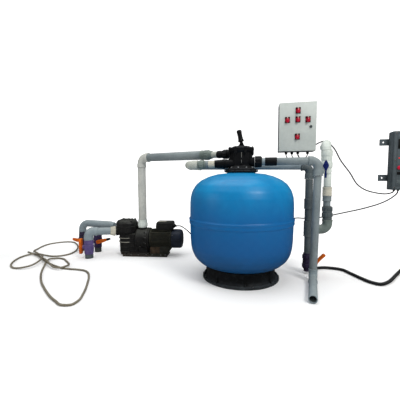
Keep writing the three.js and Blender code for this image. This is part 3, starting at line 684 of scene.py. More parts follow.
def plastic(name, base, second, rough, dust, dust_colour, grime, grime_colour, mottle, bump,
            specular, bump_scale=420, scratches=0.25, metallic=0.0, low_tint=None):
    """Moulded or painted surface: mottling, grime, dust lying on top, fine grain and scuffs.

    low_tint is (foot height, top height, colour) for a tint near the foot that fades upwards.
    """
    mat = Nodes(name)
    base = linear(base)
    patches = mat.ramp(mat.noise(scale=mottle, detail=6, rough=0.6), (0.35, 0.0), (0.68, 1.0))
    colour = mat.mix(patches, base, linear(second))
    fine = mat.ramp(mat.noise(scale=mottle * 9, detail=4, rough=0.6), (0.3, 0.0), (0.75, 0.35))
    colour = mat.mix(fine, colour, tuple(min(1, x * 1.22 + 0.004) for x in base))
    dirt = mat.ramp(mat.noise(scale=mottle * 2.3, detail=8, rough=0.72, distort=0.6),
                    (0.52, 0.0), (0.72, grime))
    colour = mat.mix(dirt, colour, linear(grime_colour))
    if low_tint:
        foot, top, tint_patch = low_tint
        fade = mat.remap(mat.split()[2], foot, top, to_low=1.0, to_high=0.0)
        fade = mat.math("MULTIPLY", fade, mat.ramp(mat.noise(scale=14, detail=5, rough=0.6),
                                                   (0.3, 0.25), (0.7, 1.0)))
        colour = mat.mix(fade, colour, linear(tint_patch))
    layer = mat.math("MULTIPLY", mat.facing_up(),
                     mat.ramp(mat.noise(scale=mottle * 4, detail=6, rough=0.68),
                              (0.28, 0.25), (0.66, 1.0)))
    layer = mat.math("MULTIPLY", layer, dust)
    colour = mat.mix(layer, colour, linear(dust_colour))
    streaks = mat.mapping(scale=(60, 60, 900), rotation=(0.5, 0.3, 0.2))
    scuffs = mat.ramp(mat.noise(scale=1.0, detail=2, rough=0.5, vector=streaks),
                      (0.66, 0.0), (0.74, scratches))
    colour = mat.mix(scuffs, colour, tuple(min(1, x * 1.6 + 0.02) for x in base))
    wear = mat.ramp(mat.noise(scale=mottle * 5, detail=5, rough=0.6), (0.3, 0.0), (0.7, 1.0))
    shine = mat.math("ADD", mat.math("MULTIPLY", wear, 0.22), rough - 0.08)
    shine = mat.math("ADD", shine, mat.math("MULTIPLY", layer, 0.5), clamp=True)
    normal = mat.bump(mat.noise(scale=bump_scale, detail=3, rough=0.6), strength=bump,
                      distance=0.0006)
    normal = mat.bump(mat.noise(scale=28, detail=4, rough=0.5), strength=bump * 0.8,
                      distance=0.002, before=normal)
    mat.finish(colour, shine, normal, Metallic=metallic, Coat_Weight=0.0, Coat_Roughness=0.12,
               Specular_IOR_Level=specular)


# name, base colour, second tone, roughness,
#  dust amount and colour, grime amount and colour, mottle scale, bump strength, specular level
PLASTICS = [
    ("black_abs", (15, 16, 18), (8, 8, 10), 0.44,
     0.16, (80, 82, 84), 0.2, (40, 40, 38), 9, 0.2, 0.10),
    # light grey: painted highlight on the lit ribs of the pump pot, and the label plate on the
    # terminal box
    ("black_worn", (150, 148, 138), (104, 100, 90), 0.5,
     0.3, (150, 146, 134), 0.5, (56, 50, 42), 20, 0.2, 0.2),
    # dark blue-grey: the blue cast is a painted sheen on the black fan cowl
    ("cowl_plastic", (32, 38, 50), (16, 19, 26), 0.36,
     0.2, (70, 78, 92), 0.3, (36, 38, 42), 10, 0.15, 0.16),
    ("pvc_pale", (168, 172, 164), (146, 152, 144), 0.42,
     0.3, (184, 180, 164), 0.3, (104, 106, 98), 9, 0.06, 0.2),
    ("pvc_purple_side", (52, 40, 78), (30, 23, 44), 0.38,
     0.22, (100, 94, 112), 0.4, (22, 20, 24), 16, 0.08, 0.16),
    ("pvc_tail_dark", (62, 66, 66), (40, 43, 43), 0.45,
     0.3, (90, 88, 82), 0.5, (32, 31, 28), 12, 0.08, 0.14),
    ("pvc_riser", (186, 187, 180), (160, 162, 158), 0.36,
     0.3, (196, 194, 182), 0.25, (120, 122, 116), 6, 0.05, 0.3),
    ("rusty_black", (74, 60, 46), (26, 22, 19), 0.6,
     0.3, (96, 84, 66), 0.6, (28, 24, 20), 22, 0.3, 0.12),
    ("sight_strip", (108, 108, 103), (84, 84, 80), 0.3,
     0.3, (130, 128, 120), 0.4, (60, 58, 54), 30, 0.05, 0.5),
    ("bezel_maroon", (58, 16, 26), (36, 10, 16), 0.36,
     0.15, (110, 80, 80), 0.2, (26, 10, 12), 26, 0.05, 0.14),
    # darker grey than the door: painted shade on the cabinet box's sides
    ("cabinet_side", (84, 90, 95), (66, 72, 78), 0.45,
     0.25, (140, 142, 140), 0.3, (52, 56, 60), 8, 0.2, 0.14),
    ("black_stand", (14, 16, 18), (7, 8, 10), 0.5,
     0.30, (92, 98, 104), 0.4, (52, 60, 64), 12, 0.25, 0.12),
    ("pump_black", (22, 22, 22), (10, 10, 10), 0.42,
     0.5, (86, 88, 82), 0.5, (46, 42, 34), 22, 0.3, 0.22),
    ("pvc_grey", (118, 127, 129), (98, 108, 112), 0.40,
     0.35, (156, 162, 158), 0.28, (70, 76, 76), 7, 0.06, 0.2),
    ("pvc_grey_dark", (80, 88, 90), (58, 66, 70), 0.44,
     0.35, (132, 136, 132), 0.4, (42, 46, 48), 9, 0.08, 0.2),
    ("pvc_grey_green", (104, 115, 110), (84, 96, 92), 0.44,
     0.35, (148, 152, 142), 0.35, (58, 66, 62), 11, 0.1, 0.2),
    ("pvc_blue_grey", (126, 138, 143), (106, 118, 125), 0.42,
     0.38, (168, 174, 170), 0.35, (78, 86, 90), 8, 0.06, 0.2),
    ("pvc_white", (198, 205, 199), (176, 184, 178), 0.38,
     0.3, (160, 160, 150), 0.32, (128, 128, 116), 9, 0.05, 0.2),
    ("pvc_cream", (188, 185, 170), (164, 160, 146), 0.42,
     0.35, (140, 136, 126), 0.4, (104, 100, 88), 12, 0.06, 0.2),
    ("pvc_purple", (92, 78, 128), (62, 52, 92), 0.36,
     0.3, (146, 142, 160), 0.4, (52, 46, 62), 16, 0.08, 0.24),
    ("pvc_purple_dark", (46, 38, 62), (28, 23, 38), 0.40,
     0.28, (96, 92, 104), 0.4, (30, 26, 34), 14, 0.08, 0.16),
    ("handle_orange", (208, 102, 22), (168, 72, 12), 0.38,
     0.2, (150, 110, 74), 0.4, (84, 44, 16), 16, 0.06, 0.14),
    ("handle_blue", (18, 32, 92), (10, 20, 62), 0.36,
     0.12, (90, 100, 130), 0.3, (12, 18, 40), 16, 0.06, 0.14),
    ("motor_paint", (38, 39, 31), (20, 20, 17), 0.48,
     0.3, (84, 84, 68), 0.6, (62, 54, 38), 22, 0.35, 0.22),
    ("cabinet_coat", (176, 182, 178), (166, 173, 170), 0.38,
     0.12, (150, 152, 146), 0.12, (134, 138, 132), 4, 0.16, 0.25),
    ("unit_coat", (72, 80, 84), (58, 66, 70), 0.46,
     0.25, (112, 116, 112), 0.3, (48, 54, 54), 7, 0.3, 0.2),
    ("switch_red", (176, 22, 50), (140, 14, 36), 0.34,
     0.12, (170, 100, 100), 0.25, (70, 10, 18), 22, 0.05, 0.14),
    ("plate_metal", (184, 186, 188), (160, 162, 165), 0.3,
     0.25, (150, 146, 138), 0.3, (96, 92, 84), 20, 0.06, 0.5),
    ("bolt_steel", (120, 120, 120), (84, 82, 80), 0.36,
     0.2, (120, 112, 100), 0.5, (86, 58, 36), 40, 0.12, 0.5),
    ("cable_rubber", (24, 24, 26), (15, 15, 16), 0.55,
     0.25, (88, 86, 80), 0.2, (50, 48, 46), 20, 0.1, 0.3),
    ("hose_black", (20, 21, 24), (12, 12, 14), 0.42,
     0.3, (92, 92, 90), 0.25, (52, 52, 50), 16, 0.12, 0.14)]
PLASTIC_EXTRAS = {
    "pvc_purple_side": dict(low_tint=(0.02, 0.09, (34, 31, 32))),
    "cabinet_side": dict(bump_scale=500),
    "black_stand": dict(low_tint=(0.0, 0.02, (70, 76, 80))),
    "pump_black": dict(low_tint=(0.0, 0.05, (58, 47, 38))),
    "motor_paint": dict(bump_scale=300),
    "cabinet_coat": dict(bump_scale=520, scratches=0.08),
    "unit_coat": dict(bump_scale=260),
    "plate_metal": dict(metallic=0.75),
    "bolt_steel": dict(metallic=0.85)}


def clear_hose_material():
    """Aged clear vinyl, yellowed, with dust on top."""
    mat = Nodes("hose_clear")
    mottle = mat.ramp(mat.noise(scale=8, detail=6, rough=0.6), (0.3, 0.0), (0.7, 1.0))
    colour = mat.mix(mottle, linear((138, 130, 112)), linear((108, 100, 84)))
    tint_patch = mat.ramp(mat.noise(scale=46, detail=5, rough=0.7), (0.5, 0.0), (0.72, 0.5))
    colour = mat.mix(tint_patch, colour, linear((70, 64, 54)))
    dust = mat.math("MULTIPLY", mat.facing_up(low=0.2, high=0.9), 0.35)
    colour = mat.mix(dust, colour, linear((164, 158, 142)))
    normal = mat.bump(mat.noise(scale=300, detail=3, rough=0.5), strength=0.1, distance=0.0005)
    mat.finish(colour, 0.34, normal, Transmission_Weight=0.25, IOR=1.4, Specular_IOR_Level=0.5)


def display_material():
    """Dark window with faint level lines."""
    mat = Nodes("display_window")
    wave = mat.math("SINE", mat.math("MULTIPLY", mat.split()[2], 520.0))
    colour = mat.mix(mat.ramp(wave, (0.4, 0.0), (0.6, 1.0)),
                     linear((22, 28, 32)), linear((30, 38, 42)))
    haze = mat.ramp(mat.noise(scale=30, detail=6, rough=0.6), (0.45, 0.0), (0.8, 0.4))
    colour = mat.mix(haze, colour, linear((70, 76, 78)))
    normal = mat.bump(mat.noise(scale=60, detail=3, rough=0.5), strength=0.03, distance=0.0005)
    mat.finish(colour, 0.16, normal, Coat_Weight=0.7, Coat_Roughness=0.05)


def lamp_material():
    mat = Nodes("led_red")
    red = linear((210, 24, 30))
    mottle = mat.ramp(mat.noise(scale=90, detail=4, rough=0.6), (0.3, 0.0), (0.7, 0.5))
    colour = mat.mix(mottle, red, tuple(0.5 * x for x in red))
    mat.finish(colour, 0.2, Emission_Color=colour, Emission_Strength=0.35)


tank_material()
for row in PLASTICS:
    plastic(*row, **PLASTIC_EXTRAS.get(row[0], {}))
clear_hose_material()
display_material()
lamp_material()

# =====================================================================
# filter tank: (radius, height) from the bottom up over the girdle to the neck
# =====================================================================
TANK_OUTLINE = [
    (0, 76), (150, 80), (240, 98), (298, 120), (336, 156), (358, 199), (368, 242), (373, 300),
    (375, 398), (376.5, 405), (381, 411), (382, 417), (381, 424), (380.8, 430), (381.8, 436),
    (383.4, 440), (382.8, 446), (378, 450), (375.4, 456), (375, 512), (374, 560), (370, 602),
    (357, 647), (328, 692), (290, 722), (235, 748), (170, 766), (118, 771), (104, 773), (99, 777),
    (99, 790), (0, 790)]
TANK_ROUNDING = ([0] + [70] * 7 + [6, 4, 3, 3, 8, 8, 3, 2.5, 3, 4, 4] + [90] * 8
                 + [10, 3, 3, 1.5, 0])


def tank_shape(angle, z):
    """Slight unevenness of the wound shell."""
    return (1 + 0.0009 * math.sin(3 * angle + 0.7) * math.sin(z / 70)
            + 0.0005 * math.sin(7 * angle + z / 60))


add_piece("tank_skin", [turned(TANK_OUTLINE, TANK_ROUNDING, 5, 160, shape=tank_shape)],
          "gelcoat_blue", "tank_shell", angle=26)

# ---- stand ring: hollow skirt with a foot flange, eight webs and flange screws
STAND_TURN = -79       # direction of the first web, degrees
STAND_OUTLINE = [
    (0, 0), (281, 0), (282, 5), (281, 15), (277, 18), (273, 15), (267, 12), (262, 13), (258, 18),
    (256, 26), (254, 36), (252.6, 60), (251, 86), (250, 97), (240, 97.4), (234, 94), (232, 86),
    (232, 9), (0, 8)]
STAND_ROUNDING = [0, 2, 2, 3, 2, 2, 3, 3, 4, 4, 6, 4, 4, 3, 3, 3, 3, 3, 0]
WEB_OUTLINE = [(245, 15), (276, 13), (277, 17), (270, 20), (261, 34), (256.5, 60), (254.5, 92),
               (245, 94)]


def stand_shape(angle, z):
    """Sunk panels between the webs, and a fine ripple round the flange."""
    if 24 < z < 96:
        wave = abs(math.sin(4 * (angle - math.radians(STAND_TURN)))) - 0.30
        depth = 0.5 + 0.5 * math.tanh(7 * wave)
        return 1 - 0.020 * depth * min(1, (z - 24) / 6, (96 - z) / 6)
    if 8 < z <= 24:
        return 1 + 0.006 * math.sin(24 * angle)
    return 1


stand = [turned(STAND_OUTLINE, STAND_ROUNDING, 2, 176, shape=stand_shape)]
stand += [prism(WEB_OUTLINE, 6, 1.2, 2, spin(STAND_TURN + 45 * k) @ shift(0, -3, 0))
          for k in range(8)]
for k in range(16):
    turn = STAND_TURN + 22.5 * k + 11.25
    if k % 4 == 0:
        stand.append(hexbolt(polar(268, turn, 12.4), UP, 9, 5, True, 1))
    else:
        stand.append(lathe([(0, 0), (4.6, 0), (4.6, 2.2), (3.4, 3.2), (0, 3.2)], 16,
                           polar(268, turn, 12.2)))
add_piece("stand_ring", stand, "black_stand bolt_steel", "tank_base", angle=30)

# ---- neck clamp: split ring with a screwed pair of ears on each side
CLAMP_SCREW_X, CLAMP_SCREW_Z = 114.5, 791
clamp = [turned([(100.8, 777), (110, 777), (113, 781), (113, 786), (108.6, 791), (108.6, 799),
                 (105.4, 804), (100.8, 804)], 1.4, 2, 96)]
for side in SIDES:
    x = side * CLAMP_SCREW_X
    clamp += [cuboid(side * 105, side * 121, -16, -2.2, 780, 802, 2.4, 3),
              cuboid(side * 105, side * 121, 2.2, 16, 780, 802, 2.4, 3),
              rod((x, -22, CLAMP_SCREW_Z), (x, 24, CLAMP_SCREW_Z), 4.2, 20, slot=1),
              hexbolt((x, -16, CLAMP_SCREW_Z), FRONT, 12, 8, True, 1),
              hexbolt((x, 16, CLAMP_SCREW_Z), (0, 1, 0), 12, 8, True, 1)]
clamp += [cuboid(106.6, 112.6, -2, 2, 786, 801, 0.8, 1).moved(spin(30 * k + 12))
          for k in range(12)]
add_piece("clamp_ring", clamp, "black_stand plate_metal", "neck_clamp")

# =====================================================================
# multiport valve, on the tank axis
# =====================================================================
# axis of the pump line, from the valve's port to the corner over the pump
PUMP_PORT = Vector((-101, 55, 918))
PUMP_CORNER = Vector((-963.15, 414.77, 934))
PUMP_LINE = (PUMP_CORNER - PUMP_PORT).normalized()
PUMP_LINE_LENGTH = (PUMP_CORNER - PUMP_PORT).length
WASTE_PORT_Y, WASTE_Z = -20, 853


def along(distance):
    return PUMP_PORT + PUMP_LINE * distance


def housing_shape(angle, z):
    """Eighteen upright ribs round the waist."""
    if 852 < z < 916:
        edge = min(1, (z - 852) / 5, (916 - z) / 5)
        wave = math.cos(18 * (angle + math.radians(86))) - 0.55
        return 1 + 0.036 * edge * (0.5 + 0.5 * math.tanh(4 * wave))
    return 1


housing = [turned(
    [(0, 790.5), (96.6, 790.5), (98, 793), (98, 806), (95, 809.6), (88, 813), (79, 820),
     (75, 827), (77, 838), (79, 850), (79, 858), (79, 870), (79, 896), (79, 914), (80, 920),
     (86, 926), (90, 931), (90, 938.4), (0, 938.4)],
    [0, 1, 1, 1.5, 2, 3, 5, 5, 4, 3, 3, 3, 3, 3, 3, 3, 1.5, 1, 0], 3, 144, shape=housing_shape)]
housing += [lathe([(0, 902), (4, 902), (8, 909), (9.5, 918), (9.5, 937.4), (8.5, 938.4),
                   (0, 938.4)], 20, polar(87, 22.5 + 45 * k)) for k in range(8)]
housing += [hexbolt(polar(91, 36 * k + 9, 809.6), UP, 9, 6, True, 1) for k in range(10)]
housing += [
    # waste, return and pump ports
    turned([(0, 0), (33, 0), (33, 27), (35.5, 29), (35.5, 37), (0, 37.8)], 1.2, 2, 48,
           (60, WASTE_PORT_Y, WASTE_Z), RIGHT),
    turned([(0, 0), (33, 0), (30.5, 44), (30.5, 60), (32.6, 62), (32.6, 71), (0, 71.6)], 1.2, 2,
           48, (-40, -30, 843.6), (-1, 0, -0.03)),
    turned([(0, 0), (19.6, 0), (20, 60), (20, 96), (27, 98), (27, 108.6), (0, 109)], 1.2, 2, 48,
           along(-109.2), PUMP_LINE),
    # round web under the pump port, flat web over the return port
    rod(along(-92) + Vector((0, 0, -16)), along(-3) + Vector((0, 0, -10)), 19, 36),
    prism([(-92, 856), (-40, 856), (-40, 902), (-78, 902)], 7, 1, 2, shift(0, -44, 0)),
    # sight strip on the front, between two blocks
    cuboid(5.2, 9.2, -88, -76, 844, 866, 1.4, 2, 2),
    cuboid(5.2, 9.2, -88, -76, 880, 918, 1.4, 2, 2),
    cuboid(0, 14, -85.5, -74, 868, 877, 1.5, 2),
    cuboid(0, 14, -85.5, -74, 836, 844, 1.5, 2)]
add_piece("valve_housing", housing, "black_abs plate_metal sight_strip", "valve_body",
          angle=30)

COVER_SCREW_RADIUS = 87.4
cover = [turned([(0, 939), (91, 939), (92.4, 941.5), (92.4, 948), (90.5, 952), (84, 956),
                 (70, 960), (66, 963), (61, 963), (56, 961.4), (41, 964), (29, 967.3),
                 (25, 967.8), (0, 968)],
                [0, 1, 1.5, 2, 3, 3, 2, 1.5, 2, 3, 4, 2, 1, 0], 3, 128)]
for k in range(8):
    turn = 22.5 + 45 * k
    cover += [turned([(0, 939.2), (10, 939.2), (10, 953), (8.6, 956), (0, 956)], 1, 2, 24,
                     polar(COVER_SCREW_RADIUS, turn)),
              hexbolt(polar(COVER_SCREW_RADIUS, turn, 955.6), UP, 10, 6, True,
                      0 if k % 2 else 1)]
cover += [cuboid(30, 57, -1.6, 1.6, 957, 967.4, 0.7, 1).moved(spin(22.5 * k)) for k in range(16)]
cover += [cuboid(70, 82, -6, 6, 951, 960.4, 1.2, 2, 2).moved(spin(60 * k + 12))
          for k in range(6)]
add_piece("valve_cover", cover, "black_abs bolt_steel black_stand", "valve_lid",
          angle=30)

# ---- fork and lever, turning on a cross pin
PIN = Vector((2, 0, 986))
LEVER_LEAN = math.radians(12)
fork = [turned([(0, 968.4), (26, 968.4), (27, 969.6), (25.6, 971.6), (20, 974.6), (16, 975.4),
                (0, 975.6)], 1.0, 3, 56),
        cuboid(-9, 13, -16.4, -10.4, 971, 995, 3.6, 3),
        cuboid(-9, 13, 10.4, 16.4, 971, 995, 3.6, 3)]
for side in SIDES:
    fork += [cuboid(-16, 20, side * 16.4, side * 10.4, 970, 979.4, 2, 2),
             cuboid(-12.4, 16.4, side * 16.4, side * 10.4, 970, 983.6, 2.4, 2),
             turned([(0, 0), (13.4, 0), (13.4, 6), (0, 6)], 1.0, 3, 40,
                    (PIN.x, side * 10.4, PIN.z), (0, side, 0)),
             hexbolt((PIN.x, side * 16.2, PIN.z), (0, side, 0), 9, 4, False)]
add_piece("valve_fork", fork, "black_abs bolt_steel", "valve_hub",
          body="valve_hub")

lever_axis = Vector((-math.sin(LEVER_LEAN), 0, math.cos(LEVER_LEAN)))
lever_side = Vector((lever_axis.z, 0, -lever_axis.x))
lever = [turned([(0, 1), (8.6, 2), (9.6, 6), (9.8, 14), (19.5, 15.6), (21.6, 17), (21.4, 22),
                 (18.6, 30), (17.2, 40), (16.6, 52), (17, 74), (18.4, 84), (18.4, 91),
                 (15.6, 98), (8, 101.6), (0, 102.4)], [0] + [3] * 14 + [0], 3, 44,
                PIN, lever_axis),
         rod((PIN.x, -9.8, PIN.z), (PIN.x, 9.8, PIN.z), 10, 32)]
for k in range(5):
    turn = math.radians(-90 + 26 * (k - 2))
    out = lever_side * math.cos(turn) + Vector((0, 1, 0)) * math.sin(turn)
    lever.append(rod(PIN + lever_axis * 48 + out * 15.4, PIN + lever_axis * 80 + out * 16.2,
                     2.2, 12, 1.0))
add_piece("valve_handle", lever, "black_abs", "valve_lever",
          body="valve_lever")

# =====================================================================
# pump delivery line
# =====================================================================
add_piece("pump_line_tail", [
    nut(33.6, 38, 10, 2.2, along(0.4), PUMP_LINE),
    turned([(0, 0), (25, 0), (27.4, 3), (27.4, 22), (28.8, 24), (28.8, 49), (27.4, 52), (25, 53),
            (0, 53)], 1, 2, 44, along(39.6), PUMP_LINE),
    bands(along(39.6), PUMP_LINE, [11, 36], 28, 4, 1.2),
    pipe(along(34), along(41), 23),
    pipe(along(91.6), along(140.2), 25, 1)],
    "black_abs pvc_pale", "pump_line_port_tail")
add_piece("pump_line_union_nut", [
    turned([(0, 0), (28, 0), (29.4, 2), (32, 12), (34.4, 25), (37, 29), (0, 29.4)], 1.2, 2, 44,
           along(140.6), PUMP_LINE),
    nut(37.6, 34, 12, 2.0, along(169.6), PUMP_LINE),
    socket(along(203.2), PUMP_LINE, 38.4, 37.4)],
    "pvc_grey_green", "pump_line_union")
add_piece("pump_line_run", [pipe(along(242), along(PUMP_LINE_LENGTH - 96.2), 36),
                            bands(along(0), PUMP_LINE, [246], 36, 3, 0.8)],
          "pvc_grey", "pump_line_pipe")


def below_corner(drop):
    return PUMP_CORNER - Vector((0, 0, drop))


add_piece("pump_riser_run", [
    elbow([along(PUMP_LINE_LENGTH - 95.6), PUMP_CORNER, below_corner(92)], 62, 42,
          cups=(30, 30), neck=3.0, steps=16),
    pipe(below_corner(589.8), below_corner(91), 37.4),
    turned([(0, 0), (38.3, 0), (38.6, 2), (38.6, 120), (38.3, 122), (0, 122)], 0.5, 1, 44,
           below_corner(374))],
    "pvc_riser", "pump_riser")

# =====================================================================
# return line: loop at the left, run behind the valve, drop at the right, tee, drain valve
# =====================================================================
BACK_Y = 150                   # the run, the drop and the riser stand in this plane
PORT_Y = -30                   # return port
PORT_SLOPE = (-1, 0, -0.01)
DROP = (499, BACK_Y)
add_piece("return_tail", [
    turned([(0, 0), (31, 0), (34, 3), (34, 18), (31.6, 22), (30.6, 38), (29.2, 60), (28, 77),
            (0, 77.6)], 2, 3, 48, (-112.6, PORT_Y, 841), PORT_SLOPE),
    bands((-112.6, PORT_Y, 841), PORT_SLOPE, [8], 33.6, 5, 1.6),
    turned([(0, 0), (27.6, 0), (28.6, 2), (28.6, 6), (26, 8), (0, 8.4)], 1, 2, 44,
           (-190, PORT_Y, 840), PORT_SLOPE, 1),
    pipe((-196, PORT_Y, 840), (-258.2, PORT_Y, 839.4), 25, 1),
    lathe([(24, -1), (25.8, -1), (25.8, 20), (24, 20)], 44, (-238, PORT_Y, 839.6),
          PORT_SLOPE, 2)],
    "black_abs pvc_cream pvc_grey", "return_port_tail")
add_piece("return_union_nut", [
    turned([(0, 0), (28, 0), (30, 2), (30, 9), (27.6, 11), (0, 11.2)], 1, 2, 44,
           (-259.2, PORT_Y, 836), LEFT),
    nut(33.4, 32, 12, 2.0, (-270.6, PORT_Y, 836), LEFT),
    turned([(0, 0), (30, 0), (30, 14), (0, 14.6)], 1, 2, 44, (-302.4, PORT_Y, 836), LEFT),
    bands((-302.4, PORT_Y, 836), LEFT, [6], 30, 3, 1.2)],
    "pvc_grey_green", "return_front_union")
add_piece("return_bend", [
    elbow([(-317.8, PORT_Y, 836), (-394, PORT_Y, 836), (-394, 60, 835)], 34, 31.5,
          cups=(44, 22), neck=2.2, steps=14),
    elbow([(-394, 60.4, 835), (-394, BACK_Y, 833), (-330, BACK_Y, 833)], 34, 31.5,
          cups=(22, 22), neck=2.2, steps=14)],
    "pvc_pale", "return_left_bend")
add_piece("return_run", [
    pipe((-329.5, BACK_Y, 833), (436.8, BACK_Y, 825), 27),
    socket((-60, BACK_Y, 830.2), (1, 0, -0.0105), 70, 28.6, lip=0.8)],
    "pvc_blue_grey", "return_run_pipe")
add_piece("return_corner", [
    elbow([(437.4, BACK_Y, 823), (*DROP, 823), (*DROP, 728)], 44, 32.4, cups=(22, 38))],
    "pvc_grey_dark", "return_drop_elbow")
add_piece("return_drop", [pipe((*DROP, 410.4), (*DROP, 727.4), 27),
                          socket((*DROP, 504), UP, 76, 32, lip=1.0),
                          bands((*DROP, 0), UP, [596], 27, 4, 1.0)],
          "pvc_grey_dark", "return_drop_pipe")
add_piece("return_tee_run", [pipe((*DROP, 163.2), (*DROP, 294), 25),
                             socket((*DROP, 292), UP, 117.4, 31.5, lip=1.4),
                             socket((*DROP, 350), RIGHT, 62, 30, lip=1.4),
                             bands((*DROP, 0), UP, [320, 380], 31.5, 3, 0.8)],
          "pvc_grey_dark", "return_tee")

drain = ball_valve(*DROP, 22, [
    (0, 22, 23, "socket"), (22, 30, 30, "socket"), (30, 62, 36, "nut"), (61.6, 98, 33, "barrel"),
    (98, 128, 36, "nut"), (128, 140.5, 29, "socket")], nut_slot=1)
drain += [rod((515, BACK_Y, 100), (545.2, BACK_Y, 100), 17, 36),
          bands((517, BACK_Y, 100), RIGHT, [20], 17, 5, 1.2)]
add_piece("drain_valve_unit", drain, "pvc_purple_dark pvc_purple_dark", "drain_valve_body")
add_piece("drain_handle", [
    turned([(0, 0.8), (14, 0.8), (15, 2), (15, 16), (12, 19.4), (5, 19.4), (4, 17), (0, 17)],
           1.2, 3, 40, (545.4, BACK_Y, 100), RIGHT),
    tube(bend_path([(561, 151, 76), (564, 148, 92), (584, 139, 122), (617, 124, 164)],
                   [8, 16], 8),
         [(0, 0), (0, 8), (2, 11), (7, 12.6), (26, 13.4), (50, 12.4), (-22, 13.2), (-8, 13.4),
          (-2, 12), (-0.4, 9), (END, 6), (END, 0)], 32),
    tube(bend_path([(566, 133, 88), (585, 125, 120), (606, 116, 148)], [14], 6),
         [(0, 0), (0, 2), (2, 3.4), (-2, 3.4), (END, 2), (END, 0)], 16)],
    "handle_orange", "drain_valve_lever", body="drain_lever")

# =====================================================================
# riser to the wall
# =====================================================================
add_piece("riser_base", [
    elbow([(561.8, BACK_Y, 350), (634, BACK_Y, 350), (634, BACK_Y, 424)], 48, 36,
          cups=(16, 12), neck=1.2, steps=16),
    turned([(0, 423), (33, 423.6), (33, 438), (31, 441), (31, 445), (0, 445.4)], 1, 2, 44,
           (633, BACK_Y, 0), slot=1),
    nut(36, 31, 12, 2.0, (632.4, BACK_Y, 445), slot=1),
    turned([(0, 475), (33.5, 475), (33.5, 487), (35, 489), (0, 489.4)], 1, 2, 44,
           (632, BACK_Y, 0), slot=1),
    nut(35.4, 31, 12, 2.0, (631.4, BACK_Y, 489.4), slot=1),
    turned([(0, 520), (31.8, 520), (31.8, 524), (30, 526), (0, 526)], 1, 2, 44,
           (630.6, BACK_Y, 0), slot=1),
    lathe([(32.4, -1.6), (34.6, -1.2), (34.6, 1.2), (32.4, 1.6)], 44, (632, BACK_Y, 486),
          slot=2)],
    "pvc_grey_green pvc_grey_dark pvc_grey", "riser_foot")

RISER = (627, BACK_Y)
add_piece("riser_run", [pipe((*RISER, 526.6), (*RISER, 564), 25.4),
                        socket((*RISER, 563), UP, 40, 30.6, lip=1.0),
                        socket((*RISER, 603.2), UP, 64.8, 32, lip=1.2, slot=1),
                        bands((*RISER, 0), UP, [622, 640], 32, 4, 1.2, 1),
                        pipe((*RISER, 667), (*RISER, 766), 26.4, 2),
                        bands((*RISER, 0), UP, [671.5], 26, 3.2, 0.6, 3)],
          "pvc_grey pvc_cream pvc_white pvc_grey_dark", "riser_pipe")

RISER_VALVE = (617, BACK_Y)
STEM_END = Vector((604, 101.7, 834))
STEM_AXIS = Vector((-0.26, -0.966, 0)).normalized()
add_piece("riser_valve_unit", [
    turned([(0, 766.6), (33, 766.6), (34.6, 769), (34.6, 775), (36, 778), (36, 797), (34, 801),
            (34, 805), (39, 810), (41, 818), (41, 846), (39, 852), (35.6, 857), (35.6, 861),
            (36.6, 864), (36.6, 892), (37.6, 895), (39.4, 899), (39.4, 934), (37, 938),
            (0, 938)], 1.8, 3, 56, (*RISER_VALVE, 0)),
    nut(35.6, 22, 14, 1.8, (*RISER_VALVE, 777)),
    nut(36.4, 24, 14, 1.8, (*RISER_VALVE, 866)),
    rod(STEM_END - STEM_AXIS * 30, STEM_END, 16, 36),
    bands(STEM_END, STEM_AXIS, [-4], 16, 4, 1.0)],
    "pvc_white", "riser_valve_body")

# arrow-shaped handle: (x, z) round its outline, pointing up
ARROW_HALF = [(5, 37), (20, 5), (20, -3), (9.4, -28), (6.6, -34), (6.6, -84), (4.6, -88.5)]
arrow = [(0, 41)] + ARROW_HALF + [(-x, z) for x, z in reversed(ARROW_HALF)]
arrow_place = (Matrix.Translation(STEM_END + STEM_AXIS * 14 + Vector((0, 0, -10)))
               @ Matrix.Rotation(-math.atan2(0.26, 0.966), 4, "Z") @ shift(0, -12, 0))
add_piece("riser_handle", [
    prism(arrow, 12, 2.6, 3, arrow_place),
    prism([(-2.6, -80), (2.6, -80), (2.6, -30), (0, 22), (-2.6, -30)], 4, 1.2, 2,
          arrow_place @ shift(0, -2.2, 0)),
    rod(STEM_END + STEM_AXIS * 0.6, STEM_END + STEM_AXIS * 16.6, 16.6, 36),
    turned([(0, 0), (8, 0), (8, 2.6), (6, 3.6), (0, 3.6)], 1, 2, 28,
           STEM_END + STEM_AXIS * 25.6, STEM_AXIS)],
    "handle_blue", "riser_valve_lever", body="riser_lever")

# last bend, then a straight pipe into the wall
BEND = Vector((613, BACK_Y, 984))
to_wall = (Vector((708, 650, 1012)) - BEND).normalized()
wall_reach = (649.6 - BACK_Y) / to_wall.y
rose = BEND + to_wall * (wall_reach - 9)
add_piece("riser_wall_bend", [
    elbow([(BEND.x, BACK_Y, 938.6), BEND, BEND + to_wall * 92], 38, 34.4, cups=(16, 40),
          neck=1.8),
    tube([BEND + to_wall * 88, BEND + to_wall * wall_reach],
         [(0, 0), (0, 25), (1, 26), (-0.4, 26), (END, 25), (END, 0)], 40),
    turned([(0, 0), (38, 0), (40, 3), (34, 6), (0, 6.4)], 1.5, 2, 40,
           (rose.x, 649.4, rose.z + 0.3), FRONT)],
    "pvc_white", "riser_outlet")

# =====================================================================
# waste line
# =====================================================================
def waste_at(x):
    return (x, WASTE_PORT_Y, WASTE_Z)


